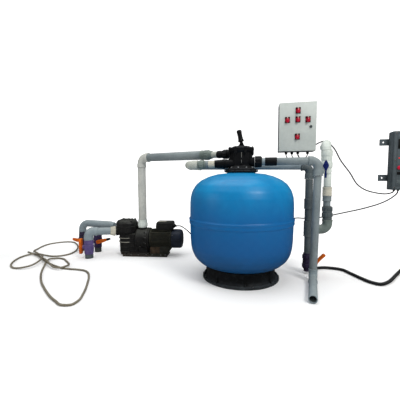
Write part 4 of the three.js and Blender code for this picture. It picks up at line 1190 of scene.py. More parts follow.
add_piece("waste_tail", [
    nut(38, 44, 10, 2.2, waste_at(99), RIGHT),
    turned([(0, 0), (37, 0), (35, 4), (29, 5.6), (0, 6)], 1, 2, 48, waste_at(143), RIGHT),
    pipe(waste_at(147), waste_at(171), 25.6, 1),
    turned([(0, 0), (28.6, 0), (29.6, 2), (29.6, 78), (28.6, 80), (0, 80)], 0.8, 2, 48,
           waste_at(170), RIGHT, 2),
    bands(waste_at(170), RIGHT, [3, 40, 76], 29.4, 3, 1.0, 2)],
    "black_abs pvc_blue_grey black_abs", "waste_port_tail")
add_piece("waste_run", [
    pipe(waste_at(251), waste_at(462), 26.6),
    elbow([waste_at(461.5), waste_at(527), (525, WASTE_PORT_Y, 749)], 50, 33, cups=(26, 34),
          neck=2.0, steps=16)],
    "pvc_grey", "waste_pipe")
WASTE_FOOT = Vector((512, -22, 96.8))
WASTE_TOP = Vector((525, WASTE_PORT_Y, 748))
add_piece("waste_drop", [
    pipe(WASTE_FOOT, WASTE_TOP, 26.4),
    bands(WASTE_FOOT, WASTE_TOP - WASTE_FOOT, [644, 324, 140], 26.4, 3, 0.7)],
    "pvc_grey", "waste_drop_pipe")
add_piece("waste_outlet", [
    tube(bend_path([(512, -22, 95.6), (512, -22, 30), (498, -104, 30), (446, -396, 28)],
                   [44, 10], 12),
         [(0, 0), (0, 28), (0.8, 30), (1.8, 30.6), (6, 30.6), (8, 29.4), (60, 29.4), (64, 28.2),
          (112, 28.2), (116, 29.4), (140, 29.4), (142, 26.2), (-2, 26.2), (-0.4, 25.6),
          (END, 24.4), (END, 22.2), (-0.8, 21.6), (-150, 21.4), (-150, 0)], 48)],
    "pvc_blue_grey", "waste_outlet_pipe")

# =====================================================================
# pump, in its own axes: strainer pot on the origin, shaft along +X; then turned into place
# =====================================================================
PUMP = (-1116, 396)
PUMP_TURN = 7                  # degrees
PUMP_PLACE = shift(*PUMP, 0) @ spin(PUMP_TURN)
FRONT_VALVE = (-1411, 205)     # suction valve in front of the pump
SUCTION_Z = 238
VOLUTE = (0, 0, 160)
MOTOR_Z = 164
MOTOR = (0, 0, MOTOR_Z)
OUTLET = (154, 0, 0)


def motor_turn(degrees):
    return shift(*MOTOR) @ spin(degrees, "X")


wet = [turned(
    [(0, 8), (64, 8), (70, 30), (72, 60), (74, 128), (78, 131), (80, 135), (78, 139), (74, 142),
     (74, 166), (78, 169), (80, 173), (78, 177), (75, 181), (75, 208), (80, 216), (97, 223),
     (102, 229), (103, 236), (103, 280), (102, 286), (100, 288), (0, 288)],
    [0, 6, 6, 6, 2, 2, 2, 2, 2, 2, 2, 2, 2, 4, 4, 4, 4, 3, 3, 3, 2, 1, 0], 3, 96)]
# two light grey rings: painted highlights where the pot's ribs catch the light
wet += [lathe([(74, -2.6), (81, -2.2), (82, 0), (81, 2.2), (74, 2.6)], 96, (0, 0, z), slot=2)
        for z in (135, 173)]
wet += [cuboid(101, 105.6, -2, 2, 234, 282, 0.9, 1).moved(spin(18 * k)) for k in range(20)]
wet += [cuboid(92, 104.6, -9, 9, 262, 287.6, 3, 3).moved(spin(45 + 90 * k)) for k in range(4)]
wet += [lathe([(70, -1.6), (r, -1.6), (r + 1.8, 0), (r, 1.6), (70, 1.6)], 72, (0, 0, z))
        for z, r in ((44, 73.2), (88, 74.2))]
# neck between strainer and volute, with casting webs
wet.append(cuboid(26, 130, -68, 68, 14, 218, 16, 5))
for side in SIDES:
    wet += [cuboid(44, 104, side * 66, side * 71, z - 2.4, z + 2.4, 1, 2)
            for z in (52, 92, 132, 172)]
    wet.append(cuboid(84, 90, side * 66, side * 72, 30, 206, 1, 2))
# volute with its flange, screws (none at the top) and webs
wet += [turned([(0, 92), (70, 92), (90, 98), (98, 110), (100, 130), (100, 176), (98, 190),
                (95, 198), (0, 199)], [0, 6, 8, 8, 6, 6, 4, 2, 0], 4, 96, VOLUTE, RIGHT),
        turned([(0, 198), (104, 198), (107, 201), (107, 213), (103, 215), (101, 217), (101, 222),
                (106, 224), (106, 230), (103, 232), (0, 232)], 1.5, 2, 96, VOLUTE, RIGHT)]
for k in range(12):
    if k not in (2, 3):
        turn = 30 * k + 15
        wet += [turned([(0, 184), (8, 184), (8, 200), (0, 200.6)], 1.4, 2, 18,
                       about_x(0, 98, turn, 160), RIGHT),
                hexbolt(about_x(205, 104, turn, 160), about_x(0, 1, turn, 0), 8, 4, False, 1)]
wet += [cuboid(98, 186, -1.8, 1.8, 96, 102.6, 1, 1).moved(
    shift(*VOLUTE) @ spin(-160 + 17.5 * k, "X")) for k in range(9)]
# outlet boss, suction inlet aimed at the front suction valve, feet
inlet_turn = (math.atan2(PUMP[1] - FRONT_VALVE[1], PUMP[0] - FRONT_VALVE[0])
              - math.radians(PUMP_TURN))
wet += [turned([(0, 160), (46, 160), (46, 246), (43, 252), (43, 264), (41, 269.6), (0, 270.4)],
               2, 3, 56, OUTLET),
        turned([(0, 0), (43, 0), (44.6, 2), (44.6, 12), (43, 15), (43, 50), (0, 50)], 1.6, 3, 56,
               (-108, 0, SUCTION_Z), RIGHT).moved(Matrix.Rotation(inlet_turn, 4, "Z")),
        cuboid(-22, 232, -86, 86, 0.2, 18, 4, 3),
        cuboid(-8, 226, -70, 70, 12, 30, 6, 3),
        cuboid(92, 214, -60, 60, 24, 90, 12, 4)]
for side in SIDES:
    for x in (-4, 60, 130, 205):
        wet += [cuboid(x - 4, x + 4, side * 40, side * 78, 12, 34, 2, 2),
                hexbolt((x, side * 76, 15.6), UP, 12, 8, True, 1)]
# drain plugs on pot and volute
wet += [turned([(0, 0), (11, 0), (11, 8), (8, 12), (0, 12)], 1.5, 2, 8, at, axis)
        for at, axis in (((8, -71, 36), FRONT), ((150, -92, 96), (0, -1, -0.3)))]
add_piece("pump_wet_end", wet, "pump_black bolt_steel black_worn", "pump_body",
          angle=30, place=PUMP_PLACE)


def cap_shape(angle, z):
    """Sixteen grips round the rim."""
    if 300 < z < 326:
        return 1 + 0.012 * (0.5 + 0.5 * math.tanh(5 * (math.cos(16 * angle) - 0.2)))
    return 1


cap = [turned([(0, 288.6), (101, 288.6), (103.4, 291), (103.4, 297), (102.4, 303), (101, 314),
               (94, 329), (83, 337.6), (70, 342.4), (52, 345.4), (30, 346.6), (0, 347)],
              [0, 1, 1.4, 2, 4, 8, 8, 8, 6, 6, 4, 0], 4, 112, shape=cap_shape)]
for k in range(4):
    turn = 45 + 90 * k
    cap += [turned([(0, 292), (14, 292), (13.4, 330), (12.6, 338), (10, 342), (0, 343)], 2.4, 3,
                   28, polar(84, turn)),
            hexbolt(polar(84, turn, 341.5), UP, 13, 6.5, True, 1)]
cap += [cuboid(22, 62, -2.4, 2.4, 340, 349.4, 1.1, 2).moved(spin(45 * k)) for k in range(8)]
cap.append(turned([(0, 344), (22, 344), (22, 349), (18, 351), (0, 351)], 1.4, 2, 40))
add_piece("pump_cap", cap, "pump_black bolt_steel", "pump_lid",
          body="pump_lid", angle=30, place=PUMP_PLACE)

add_piece("pump_outlet_union", [
    turned([(0, 271), (42, 271), (45, 275), (45, 280), (0, 280.6)], 1.6, 2, 52, OUTLET),
    nut(45.4, 30, 8, 2.4, (154, 0, 281)),
    turned([(0, 310), (45, 310), (44, 316), (42.6, 320), (42.6, 338), (44, 339.6), (44, 343),
            (0, 343.6)], 1.4, 2, 52, OUTLET)],
    "pvc_white", "pump_union", place=PUMP_PLACE)

# ---- motor casting: finned barrel, tie rods, rusty saddle, slanted foot
FINS = 44
motor = [turned([(0, 233), (89, 233), (92, 236), (92, 243), (86, 247), (84, 252), (84, 426),
                 (87, 430), (92, 433), (92, 440), (86, 443), (74, 445), (72, 456), (15, 456),
                 (14, 454), (14, 441), (0, 440.6)], 1.6, 2, 84, MOTOR, RIGHT)]
motor += [prism([(250, 81), (424, 81), (424, 90.5), (420, 93.6), (254, 93.6), (250, 90.5)], 2.6,
                0.7, 1, motor_turn(360 / FINS * k) @ shift(0, -1.3, 0)) for k in range(FINS)]
motor += [cuboid(308, 442, -46, 46, 228, 258, 3, 3),
          cuboid(233, 346, -56, 56, 18, 92, 8, 4, 3)]
for side in SIDES:
    motor += [prism([(x - 3, 26), (x + 3, 26), (x + 3, 86), (x - 3, 86)], 4, 1, 2,
                    shift(0, side * 57 - 2, 0), 3) for x in (250, 275, 300, 325)]
for k in range(4):
    turn = 45 + 90 * k
    motor += [rod(about_x(236, 88, turn, MOTOR_Z), about_x(441, 88, turn, MOTOR_Z), 5.4, 16),
              hexbolt(about_x(440.5, 88, turn, MOTOR_Z), RIGHT, 10, 4, True, 1)]
motor += [prism([(336, 100), (442, 100), (443, 80), (404, 24), (320, 24)], 12, 2, 2,
                shift(0, side * 52 - 6, 0)) for side in SIDES]
motor += [prism([(344, 96), (434, 96), (434, 84), (396, 30), (330, 30)], 92, 4, 3,
                shift(0, -46, 0)),
          cuboid(233, 403, -82, 82, 0.2, 16, 4, 3),
          cuboid(238, 399, -70, 70, 10, 27, 6, 3)]
motor += [hexbolt((x, side * 75, 15.6), UP, 13, 8, True, 1)
          for side in SIDES for x in (262, 345, 388)]
add_piece("motor_casting", motor, "motor_paint bolt_steel plate_metal rusty_black", "pump_motor",
          angle=30, place=PUMP_PLACE)

# ---- terminal box with a label plate and a cable gland
terminal = [cuboid(295, 460, -62, 62, 258.8, 296, 6, 4),
            cuboid(298, 457, -59, 59, 292, 316, 5, 4),
            cuboid(304, 452, -54, 54, 312, 330, 6, 4),
            cuboid(312, 388, -50, 22, 328.5, 332.2, 1.4, 2, 3),
            cuboid(294, 461, -63, 63, 292, 296, 1.4, 2)]
for x in (306, 450):
    for y in (-52, 52):
        terminal += [lathe([(0, 312), (6, 312), (6, 319), (5, 320), (0, 320)], 16, (x, y, 0)),
                     hexbolt((x, y, 319.6), UP, 7, 3.5, False, 2)]
terminal += [tube([(454, -20, 293), (468, -20, 291), (488, -20, 286.6)],
                  [(0, 0), (0, 15), (12, 15), (14, 13), (26, 13), (28, 10), (END, 8.5),
                   (END, 0)], 28),
             nut(14.5, 10, 6, 1.6, (464, -20, 291), (1, 0, -0.2), seg=48)]
add_piece("terminal_housing", terminal, "pump_black plate_metal bolt_steel black_worn",
          "pump_terminal_box", angle=30, place=PUMP_PLACE)


def fan_blade():
    """Curved blade from radius 16 to 59, tapering from the cowl side."""
    n, verts, faces = 8, [], []
    for i in range(n + 1):
        radius = 16 + 43 * i / n
        curve = 7 * math.sin(i / n * 1.9)
        tip = 491 - 5 * (i / n)
        verts += [(x, curve + y, radius)
                  for y, x in ((-1.1, 469), (1.1, 469), (1.1, tip), (-1.1, tip))]
    for i in range(n):
        for j in range(4):
            k = (j + 1) % 4
            faces.append((4 * i + j, 4 * i + k, 4 * i + 4 + k, 4 * i + 4 + j))
    faces += [(0, 1, 2, 3), (4 * n + 3, 4 * n + 2, 4 * n + 1, 4 * n)]
    return Shell(verts, faces)


fan = [rod((451, 0, MOTOR_Z), (490, 0, MOTOR_Z), 10, 32),
       turned([(0, 464), (20, 464), (24, 468), (22, 478), (14, 484), (0, 485)], 2, 3, 36,
              MOTOR, RIGHT),
       lathe([(0, 466), (58, 466), (60, 467.5), (60, 470), (58, 471), (0, 471)], 56,
             MOTOR, RIGHT)]
fan += [fan_blade().moved(motor_turn(360 * k / 7)) for k in range(7)]
add_piece("motor_fan", fan, "black_abs", "pump_fan", body="pump_rotor",
          angle=30, place=PUMP_PLACE)

# ---- fan cowl: shell, grille rings and spokes, outside ribs, screws
cowl = [turned([(75, 445), (88, 445), (89.6, 448), (90, 470), (90, 500), (88.4, 522), (84, 533),
                (76, 539), (68, 541.4), (68, 538), (75, 534), (82, 526), (85, 500), (84, 459),
                (75, 457)], [1, 1, 2, 4, 6, 6, 5, 4, 1, 1, 4, 5, 5, 3, 1], 3, 96, MOTOR, RIGHT)]
cowl += [lathe([(r - 2.2, 539), (r - 1.4, 542.6), (r + 1.4, 542.6), (r + 2.2, 539),
                (r + 1.4, 537.4), (r - 1.4, 537.4)], 72, MOTOR, RIGHT)
         for r in range(61, 24, -9)]
cowl.append(turned([(0, 537.4), (17, 537.4), (17, 542), (14, 545), (0, 545.6)], 1, 2, 40,
                   MOTOR, RIGHT))
cowl += [cuboid(537.6, 541.6, -1.8, 1.8, 14, 71, 0.8, 1).moved(motor_turn(30 * k))
         for k in range(12)]
cowl += [cuboid(449, 522, -2.6, 2.6, 87, 92.2, 1, 2).moved(motor_turn(-30 + 60 * k))
         for k in range(5)]
cowl += [hexbolt(about_x(454, 89, turn, MOTOR_Z), about_x(0, 1, turn, 0), 8, 4, False, 1)
         for turn in (30, 150, 270)]
add_piece("fan_cowl", cowl, "cowl_plastic bolt_steel", "pump_fan_cover",
          angle=30, place=PUMP_PLACE)

# =====================================================================
# suction side
# =====================================================================
# ---- front pipe and valve
front_top = Vector((*FRONT_VALVE, 250))
inlet = Vector((*PUMP, SUCTION_Z))
inlet += Vector((FRONT_VALVE[0] - PUMP[0], FRONT_VALVE[1] - PUMP[1], 0)).normalized() * 108
suction_axis = (front_top - inlet).normalized()
suction_length = (front_top - inlet).length
flange = inlet + suction_axis * 3
add_piece("suction_front_run", [
    turned([(0, 0), (44, 0), (46.5, 2), (46.5, 14), (44, 20), (42, 30), (40, 42), (37, 47),
            (0, 47)], 1.6, 3, 56, flange, suction_axis, 1),
    bands(flange, suction_axis, [22, 38], 41, 3, 0.6, 1),
    tube(bend_path([inlet + suction_axis * 48, front_top, (*FRONT_VALVE, 172)], [46], 16),
         [(0, 0), (0, 35), (suction_length - 130, 35), (suction_length - 128, 37),
          (suction_length - 126, 42.4), (suction_length - 118, 42.4),
          (suction_length - 116, 40.6), (-26, 40.6), (-24, 42.4), (-1.6, 42.4), (-0.4, 41),
          (END, 38), (END, 0)], 52)],
    "pvc_blue_grey pvc_cream", "suction_front_pipe")

front_valve = ball_valve(*FRONT_VALVE, 0, [
    (1, 44, 34, "socket"), (50, 74, 40.6, "nut"), (74, 128, 44, "barrel"), (126, 148, 42, "nut"),
    (148, 171.4, 41, "socket")])
stem_axis = Vector((-1, -0.18, 0)).normalized()
front_valve += [
    turned([(0, 40), (37, 40), (39, 46), (39, 52), (0, 52)], 1, 2, 44, (*FRONT_VALVE, 0)),
    rod((*FRONT_VALVE, 104), (-1465, 195.2, 104), 20, 40),
    bands((*FRONT_VALVE, 104), stem_axis, [42], 20, 5, 1.2),
    pipe((*FRONT_VALVE, 0.6), (*FRONT_VALVE, 42), 36, 1)]
add_piece("suction_front_valve_unit", front_valve, "pvc_purple pvc_grey_dark",
          "suction_front_valve")
add_piece("suction_front_handle",
          lever_plate(Vector((-1465, 195, 104)) + stem_axis * 0.6, stem_axis, UP,
                      reach=(79, 64), middle=54, end=44, thick=20, hub_radius=17,
                      hub_length=22, offset=10, waist=0.86),
          "handle_orange", "suction_front_lever", body="suction_front_lever")

# ---- rear pipe
REAR_VALVE = (-1640, 446)
add_piece("suction_rear_run", [
    tube(bend_path([(*REAR_VALVE, 196.2), (*REAR_VALVE, 286), (-1330, 452, 277),
                    (-1277, 441, 271)], [66, 34], 14),
         [(0, 0), (0, 33), (0.8, 35.4), (1.8, 36), (22, 36), (24, 35), (30, 35), (120, 35),
          (126, 35), (128, 34.6), (-44, 34.6), (-20, 32), (-2, 29), (END, 26), (END, 0)], 48)],
    "pvc_blue_grey", "suction_rear_pipe")

# ---- side valve, between the other two
SIDE_VALVE = (-1460, 430)
side_valve = ball_valve(*SIDE_VALVE, 0, [
    (1, 44, 31, "socket"), (46, 84, 37, "nut"), (84, 150, 41, "barrel"), (150, 178, 39, "nut"),
    (178, 205, 36, "socket"), (205, 250, 28, "socket")])
side_valve += [pipe((*SIDE_VALVE, 0.6), (*SIDE_VALVE, 44), 33, 1),
               rod((*SIDE_VALVE, 112), (-1432.2, 388.8, 112), 18, 36)]
add_piece("suction_side_valve_unit", side_valve, "pvc_purple_side pvc_tail_dark",
          "suction_side_valve")
side_hub = Vector((-1432, 388.5, 112))
stem_axis = Vector((11, -18.5, 0)).normalized()
wing_axis = (Vector((-1300, 378, 142)) - Vector((-1444, 370, 100))).normalized()
side_lever = lever_plate(side_hub, stem_axis, wing_axis, reach=(92, 22), middle=37, end=27,
                         thick=17, hub_radius=15.5, hub_length=19, offset=6, waist=0.84)
grip = side_hub + stem_axis * 14 + wing_axis * 50
side_lever += [
    tube([grip, grip + wing_axis * 36, grip + wing_axis * 56],
         [(0, 0), (0, 11), (2, 13), (26, 13), (-6, 11), (-1, 9), (END, 0)], 24),
    tube([grip + wing_axis * 48, grip + wing_axis * 84 + Vector((0, 0, -2))],
         [(0, 0), (0, 12), (1, 12.6), (-3, 11), (-0.6, 9), (END, 6), (END, 0)], 24, 1)]
add_piece("suction_side_handle", side_lever, "handle_orange black_abs", "suction_side_lever",
          body="suction_side_lever")

# ---- rear valve
rear_valve = ball_valve(*REAR_VALVE, 0, [
    (1, 56, 29, "socket"), (62, 90, 36.5, "nut"), (90, 150, 40.5, "barrel"),
    (150, 174, 37, "nut"), (174, 195.4, 35, "socket")])
rear_valve += [
    pipe((*REAR_VALVE, 0.6), (*REAR_VALVE, 58), 31, 1),
    turned([(0, 52), (33, 52), (34, 58), (34, 64), (0, 64)], 1, 2, 44, (*REAR_VALVE, 0)),
    rod((*REAR_VALVE, 120), (-1653.8, 392.6, 120), 18, 36)]
add_piece("suction_rear_valve_unit", rear_valve, "pvc_purple_dark pvc_grey_dark",
          "suction_rear_valve")
stem_axis = Vector((-0.25, -1, 0)).normalized()
add_piece("suction_rear_handle",
          lever_plate(Vector((-1654, 392, 120)) + stem_axis * 0.6, stem_axis, (-0.97, 0.24, 0.1),
                      reach=(66, 46), middle=36, end=26, thick=11, hub_radius=16,
                      hub_length=20, offset=8, waist=0.72),
          "handle_orange", "suction_rear_lever", body="suction_rear_lever")

# =====================================================================
# switch cabinet
# =====================================================================
CAB_X0, CAB_X1, CAB_Z0, CAB_Z1 = CAB = (297, 606, 973, 1391)
SEAL = 12                      # seal line, in from the outside
# the box's walls take the darker grey as painted shade; the door keeps the light coat
cabinet = [open_box(CAB, 520.2, 649.8, 8, 3.4)]
for z in (CAB_Z0 + SEAL, CAB_Z1 - SEAL):
    cabinet.append(cuboid(CAB_X0 + 9, CAB_X1 - 9, 521, 527, z - 3, z + 3, 1, 1, 1))
for x in (CAB_X0 + SEAL, CAB_X1 - SEAL):
    cabinet.append(cuboid(x - 3, x + 3, 521, 527, CAB_Z0 + SEAL, CAB_Z1 - SEAL, 1, 1, 1))
# mounting plate, two rails and two rows of switchgear inside
cabinet += [cuboid(322, 581, 634, 638, 998, 1366, 1.2, 1, 2),
            cuboid(330, 573, 622, 635, 1236, 1248, 1, 1, 2),
            cuboid(330, 573, 622, 635, 1096, 1108, 1, 1, 2)]
for k in range(9):
    x = 340 + 24 * k
    cabinet += [cuboid(x, x + 22, 566, 624, 1200, 1284, 2, 2, 3),
                cuboid(x + 7, x + 15, 558, 568, 1232, 1250, 1.2, 2, 4)]
for k in range(4):
    x = 344 + 52 * k
    cabinet += [cuboid(x, x + 44, 560, 624, 1062, 1142, 2.4, 2, 4),
                cuboid(x + 8, x + 36, 554, 562, 1086, 1118, 1.4, 2, 3)]
# hinge leaves on the left, glands and short cables below
cabinet += [cuboid(294, 297.4, 526, 550, z - 22, z + 22, 0.8, 1, 2) for z in (1040, 1322)]
for x in (367, 417, 468, 551):
    cabinet += [turned([(0, 951), (8.6, 951), (10.6, 953), (12, 959), (12, 966), (0, 966.4)],
                       1, 2, 28, (x, 585, 0), slot=5),
                lathe([(0, 965), (13, 965), (13, 971.6), (12.2, 972.6), (0, 972.8)], 6,
                      (x, 585, 0), slot=5)]
SHORT_CABLES = [
    [(367, 585, 958), (367, 584, 944), (372, 582, 930), (378, 576, 918), (380, 566, 908)],
    [(417, 585, 958), (418, 583, 940), (424, 580, 926), (432, 574, 914), (434, 566, 904)],
    [(468, 585, 958), (469, 582, 940), (482, 578, 922), (510, 577, 914), (536, 580, 922),
     (549, 584, 942), (551, 585, 958)],
    [(468, 586, 956), (474, 590, 940), (482, 594, 926), (486, 596, 912), (487, 596, 900)]]
cabinet += [tube(spline(points, 8), [(0, 0), (0, 4.2), (END, 4.2), (END, 0)], 16, 5, dense=4)
            for points in SHORT_CABLES]
add_piece("cabinet_body", cabinet,
          "cabinet_side cable_rubber plate_metal pvc_cream black_abs cable_rubber",
          "cabinet_box", angle=30)

# ---- door, with a hooded bezel for each switch and a lock ring
SWITCHES = [(453, 1318), (366, 1241), (453, 1242), (536, 1239), (451, 1095)]   # (x, z)
LOCK_X, LOCK_Z = 561, 1179
door = [cuboid(CAB_X0, CAB_X1, 505, 519.6, CAB_Z0, CAB_Z1, 3.4, 4)]
door += [cuboid(CAB_X0 + 15, CAB_X1 - 15, 519, 524, z, z + 4, 0.8, 1) for z in (988, 1372)]
for x, z in SWITCHES:
    door += [prism([(x - 21, z - 25), (x + 21, z - 25), (x + 21, z + 26), (x - 21, z + 26)],
                   4.4, 1.6, 2, shift(0, 500.7, 0), 1),
             cuboid(x - 21, x + 21, 494.5, 501.5, z + 17, z + 27, 2.2, 2, 1),
             cuboid(x - 5, x + 5, 493.4, 495.6, z + 18.6, z + 25, 0.8, 1, 2)]
door.append(turned([(0, 0), (11.6, 0), (11.6, 3), (10, 5), (0, 5)], 1, 2, 36,
                   (LOCK_X, 505.4, LOCK_Z), FRONT, 3))
add_piece("cabinet_front", door, "cabinet_coat bezel_maroon pvc_cream pvc_grey_dark",
          "cabinet_door", body="door", angle=30)

# (half width, height from the switch centre) up the right side of the knob's grip bar
KNOB_SIDE = [(7.6, -25), (9.2, -12), (9.2, 6), (6, 15)]
for k, (x, z) in enumerate(SWITCHES, start=1):
    left_first, *right_side = KNOB_SIDE
    bar = [(x - 7.6, z - 25)] + [(x + w, z + h) for w, h in KNOB_SIDE]
    bar += [(x - w, z + h) for w, h in reversed(right_side)]
    add_piece(f"switch_knob_{k}", [
        rod((x, 517, z), (x, 499, z), 7, 28, slot=1),
        turned([(0, 0), (18.4, 0), (18.8, 2), (17.6, 7), (0, 7.4)], 1.2, 3, 44,
               (x, 500.6, z - 3), FRONT),
        prism(bar, 19, 3.6, 3, shift(0, 475.4, 0)),
        cuboid(x - 1.2, x + 1.2, 474.9, 477, z - 2, z + 13, 0.5, 1, 2)],
        "switch_red black_abs pvc_cream", f"cabinet_switch_{k}",
        body=f"switch_{k}")
add_piece("cabinet_key_lock", [
    rod((LOCK_X, 517, LOCK_Z), (LOCK_X, 496.5, LOCK_Z), 7, 28),
    turned([(0, 0), (9, 0), (10, 1.4), (10, 5), (8.4, 7.4), (0, 7.8)], 1, 3, 40,
           (LOCK_X, 500.6, LOCK_Z), FRONT),
    cuboid(LOCK_X - 1.8, LOCK_X + 1.8, 488.6, 494, LOCK_Z - 9, LOCK_Z + 9, 1.2, 2, 1)],
    "pvc_grey_dark black_abs", "cabinet_lock", body="lock")

# =====================================================================
# chlorinator power unit
# =====================================================================
def lug_plate(x0, x1, hole_x, z):
    """Plate against the wall with a round hole, as a closed ring of quads."""
    n = 40
    half_height = 28
    inner, outer = [], []
    for i in range(n):
        angle = 2 * math.pi * i / n
        c, s = math.cos(angle), math.sin(angle)
        inner.append((hole_x + 7 * c, z + 7 * s))
        reach = min(((x1 - hole_x) if c > 0 else (hole_x - x0)) / max(1e-6, abs(c)),
                    half_height / max(1e-6, abs(s)))
        outer.append((hole_x + reach * c, z + reach * s))
    bm = bmesh.new()
    rows = [[bm.verts.new((px, y, pz)) for px, pz in points]
            for points, y in ((inner, 649.4), (inner, 643.4), (outer, 643.4), (outer, 649.4))]
    skin(bm, rows + rows[:1])
    bmesh.ops.recalc_face_normals(bm, faces=bm.faces)
    return from_bmesh(bm)


unit = [open_box((1222, 1600, 634, 1126), 576.5, 649.6, 9, 9)]
# fins on both flanks
for k in range(14):
    z = 724 + 24 * k
    unit += [cuboid(1219.2, 1223, 596, 640, z, z + 7, 1, 2),
             cuboid(1599, 1603.2, 596, 640, z, z + 7, 1, 2)]
# four lugs, each with a raised ring at the hole and three ribs towards the case
for z in (1042, 736):
    for x0, x1, hole_x, side in ((1150, 1226, 1180, 1), (1596, 1672, 1642, -1)):
        unit += [lug_plate(x0, x1, hole_x, z),
                 bands((hole_x, 643.4, z), FRONT, [0.2], 9.5, 1.6, 1.4, seg=32)]
        unit += [cuboid(hole_x + side * 22, hole_x + side * 45, y, 644, z + low, z + low + 5,
                        1, 1) for y, low in ((632, -2.5), (638, 20), (638, -25))]
add_piece("unit_case", unit, "unit_coat plate_metal", "power_unit_case", angle=30)

COVER_Y0, COVER_Y1 = 556, 576
BUTTON_X, BUTTON_Z = 1272, 820


def cover_slab():
    """Front slab with a groove near its edge, a sunk display window and a button hole."""
    bm = bmesh.new()
    y = COVER_Y0
    # (inset, y, corner radius) from the back edge to the inner side of the groove
    rows = [(0, COVER_Y1, 8), (0, y + 7, 8), (0.8, y + 3.4, 8), (3.4, y + 0.8, 8), (7, y, 8),
            (21, y, 6), (22, y + 0.6, 6), (22.6, y + 2.4, 6), (25.4, y + 2.4, 6),
            (26, y + 0.6, 6), (27, y, 6)]
    loops = inset_loops(bm, (1228, 1594, 639, 1121), rows, 5)
    skin(bm, loops)
    bm.faces.new(loops[0])
    window = inset_loops(bm, (1256.4, 1435.6, 974.4, 1059.6),
                         [(0, y, 4), (0.8, y + 0.8, 4), (0.8, y + 5.8, 4)], 5)
    skin(bm, window)
    bm.faces.new(window[-1])
    hole = []
    for i in range(24):
        angle = 2 * math.pi * i / 24
        hole.append(bm.verts.new((BUTTON_X + 9 * math.cos(angle), y,
                                  BUTTON_Z + 9 * math.sin(angle))))
    hole_floor = [bm.verts.new((v.co.x, y + 12, v.co.z)) for v in hole]
    skin(bm, [hole, hole_floor])
    bm.faces.new(hole_floor)
    # fill the field between the groove, window and hole
    edges = [bm.edges.get((ring[i], ring[(i + 1) % len(ring)]))
             for ring in (loops[-1], window[0], hole) for i in range(len(ring))]
    bmesh.ops.triangle_fill(bm, use_beauty=True, use_dissolve=False, edges=edges, normal=FRONT)
    bmesh.ops.recalc_face_normals(bm, faces=bm.faces)
    return from_bmesh(bm)


front = [cover_slab()]
for x in (1243, 1579):
    for z in (654, 880, 1106):
        front += [turned([(0, 0), (7, 0), (7, 2.4), (5, 4), (0, 4)], 0.8, 2, 24, (x, 557, z),
                         FRONT, 1),
                  lathe([(0, 0), (3.2, 0), (3.2, 4.6), (0, 4.6)], 6, (x, 557, z), FRONT, 2)]
# round red pads, square dark pads, lamps, blank plates, rotary knob
front += [turned([(0, 0), (16, 0), (16, 4), (13, 7), (0, 8)], 1.4, 3, 36,
                 (BUTTON_X + 44 * i, 557, BUTTON_Z), FRONT, 3) for i in range(1, 6)]
front += [cuboid(1257 + 44 * i, 1287 + 44 * i, 549.4, 557, 762, 786, 3.2, 3, 2)
          for i in range(6)]
front += [turned([(0, 0), (6, 0), (6, 2.2), (3, 4.6), (0, 5)], 0.8, 3, 24,
                 (1270 + 40 * i, 557, 900), FRONT, 4) for i in range(4)]
front += [cuboid(1462, 1556, 553.6, 557, 978, 1056, 2, 2, 5),
          cuboid(1470, 1548, 551.4, 554.4, 1018, 1048, 1.4, 2, 2),
          cuboid(1468, 1550, 552.4, 557, 690, 716, 2, 2, 5),
          cuboid(1256, 1436, 553.4, 557, 688, 718, 2, 2, 5),
          turned([(0, 0), (24, 0), (24, 3), (20, 6), (0, 6)], 1.4, 3, 44, (1512, 557, 860),
                 FRONT, 2),
          prism([(1506, 838), (1518, 838), (1520, 884), (1504, 884)], 12, 3, 3,
                shift(0, 541.5, 0), 2)]
add_piece("unit_front", front,
          "unit_coat bolt_steel black_abs switch_red led_red pvc_grey_dark",
          "power_unit_cover", angle=30)
add_piece("unit_display", [cuboid(1257.6, 1434.4, 556.6, 561.2, 975.6, 1058.4, 2.2, 3),
                           cuboid(1275, 1417, 555.6, 558, 990, 1044, 1.4, 2, 1)],
          "black_abs display_window", "power_unit_display")
add_piece("unit_button", [
    rod((BUTTON_X, 561, BUTTON_Z), (BUTTON_X, 548, BUTTON_Z), 8, 28),
    turned([(0, 0), (17, 0), (17, 7), (14, 11), (8, 12.4), (0, 12.8)], 1.8, 4, 44,
           (BUTTON_X, 550.6, BUTTON_Z), FRONT)],
    "switch_red", "power_button", body="button")

# =====================================================================
# cables and hoses: points along each centre line
# =====================================================================
GLAND = [(0, 0), (8, 0), (11, 3), (11, 9), (0, 9)]
CABINET_LEAD = [
    (610, 590, 1026), (650, 590, 1050), (696, 590, 1060), (763, 590, 1008), (832, 590, 885),
    (908, 590, 779), (967, 590, 683), (1032, 590, 634), (1135, 590, 604), (1205, 592, 600),
    (1252, 600, 614), (1264, 606, 631)]
add_piece("cabinet_lead", [
    cable(CABINET_LEAD, 5.2),
    turned([(0, 0), (9, 0), (9, 6), (7, 10), (0, 10)], 1, 2, 20, (606.6, 588.5, 1023.6),
           (0.8, 0, 0.6)),
    turned(GLAND, 1, 2, 20, (1263, 605, 625))],
    "cable_rubber", "cabinet_cable")

PUMP_LEAD = [
    PUMP_PLACE @ Vector((489.5, -20, 289)), (-598, 476, 280), (-548, 512, 236),
    (-500, 519, 192), (-380, 545, 150), (-100, 590, 150), (160, 606, 230), (330, 610, 330),
    (469, 610, 368), (539, 610, 368), (677, 610, 380), (794, 610, 406), (925, 610, 439),
    (1045, 610, 472), (1162, 610, 514), (1238, 610, 556), (1290, 612, 604), (1297, 613, 630.5)]
add_piece("pump_lead", [cable(PUMP_LEAD, 5.2), turned(GLAND, 1, 2, 20, (1297, 613, 624.6))],
          "cable_rubber", "pump_cable")

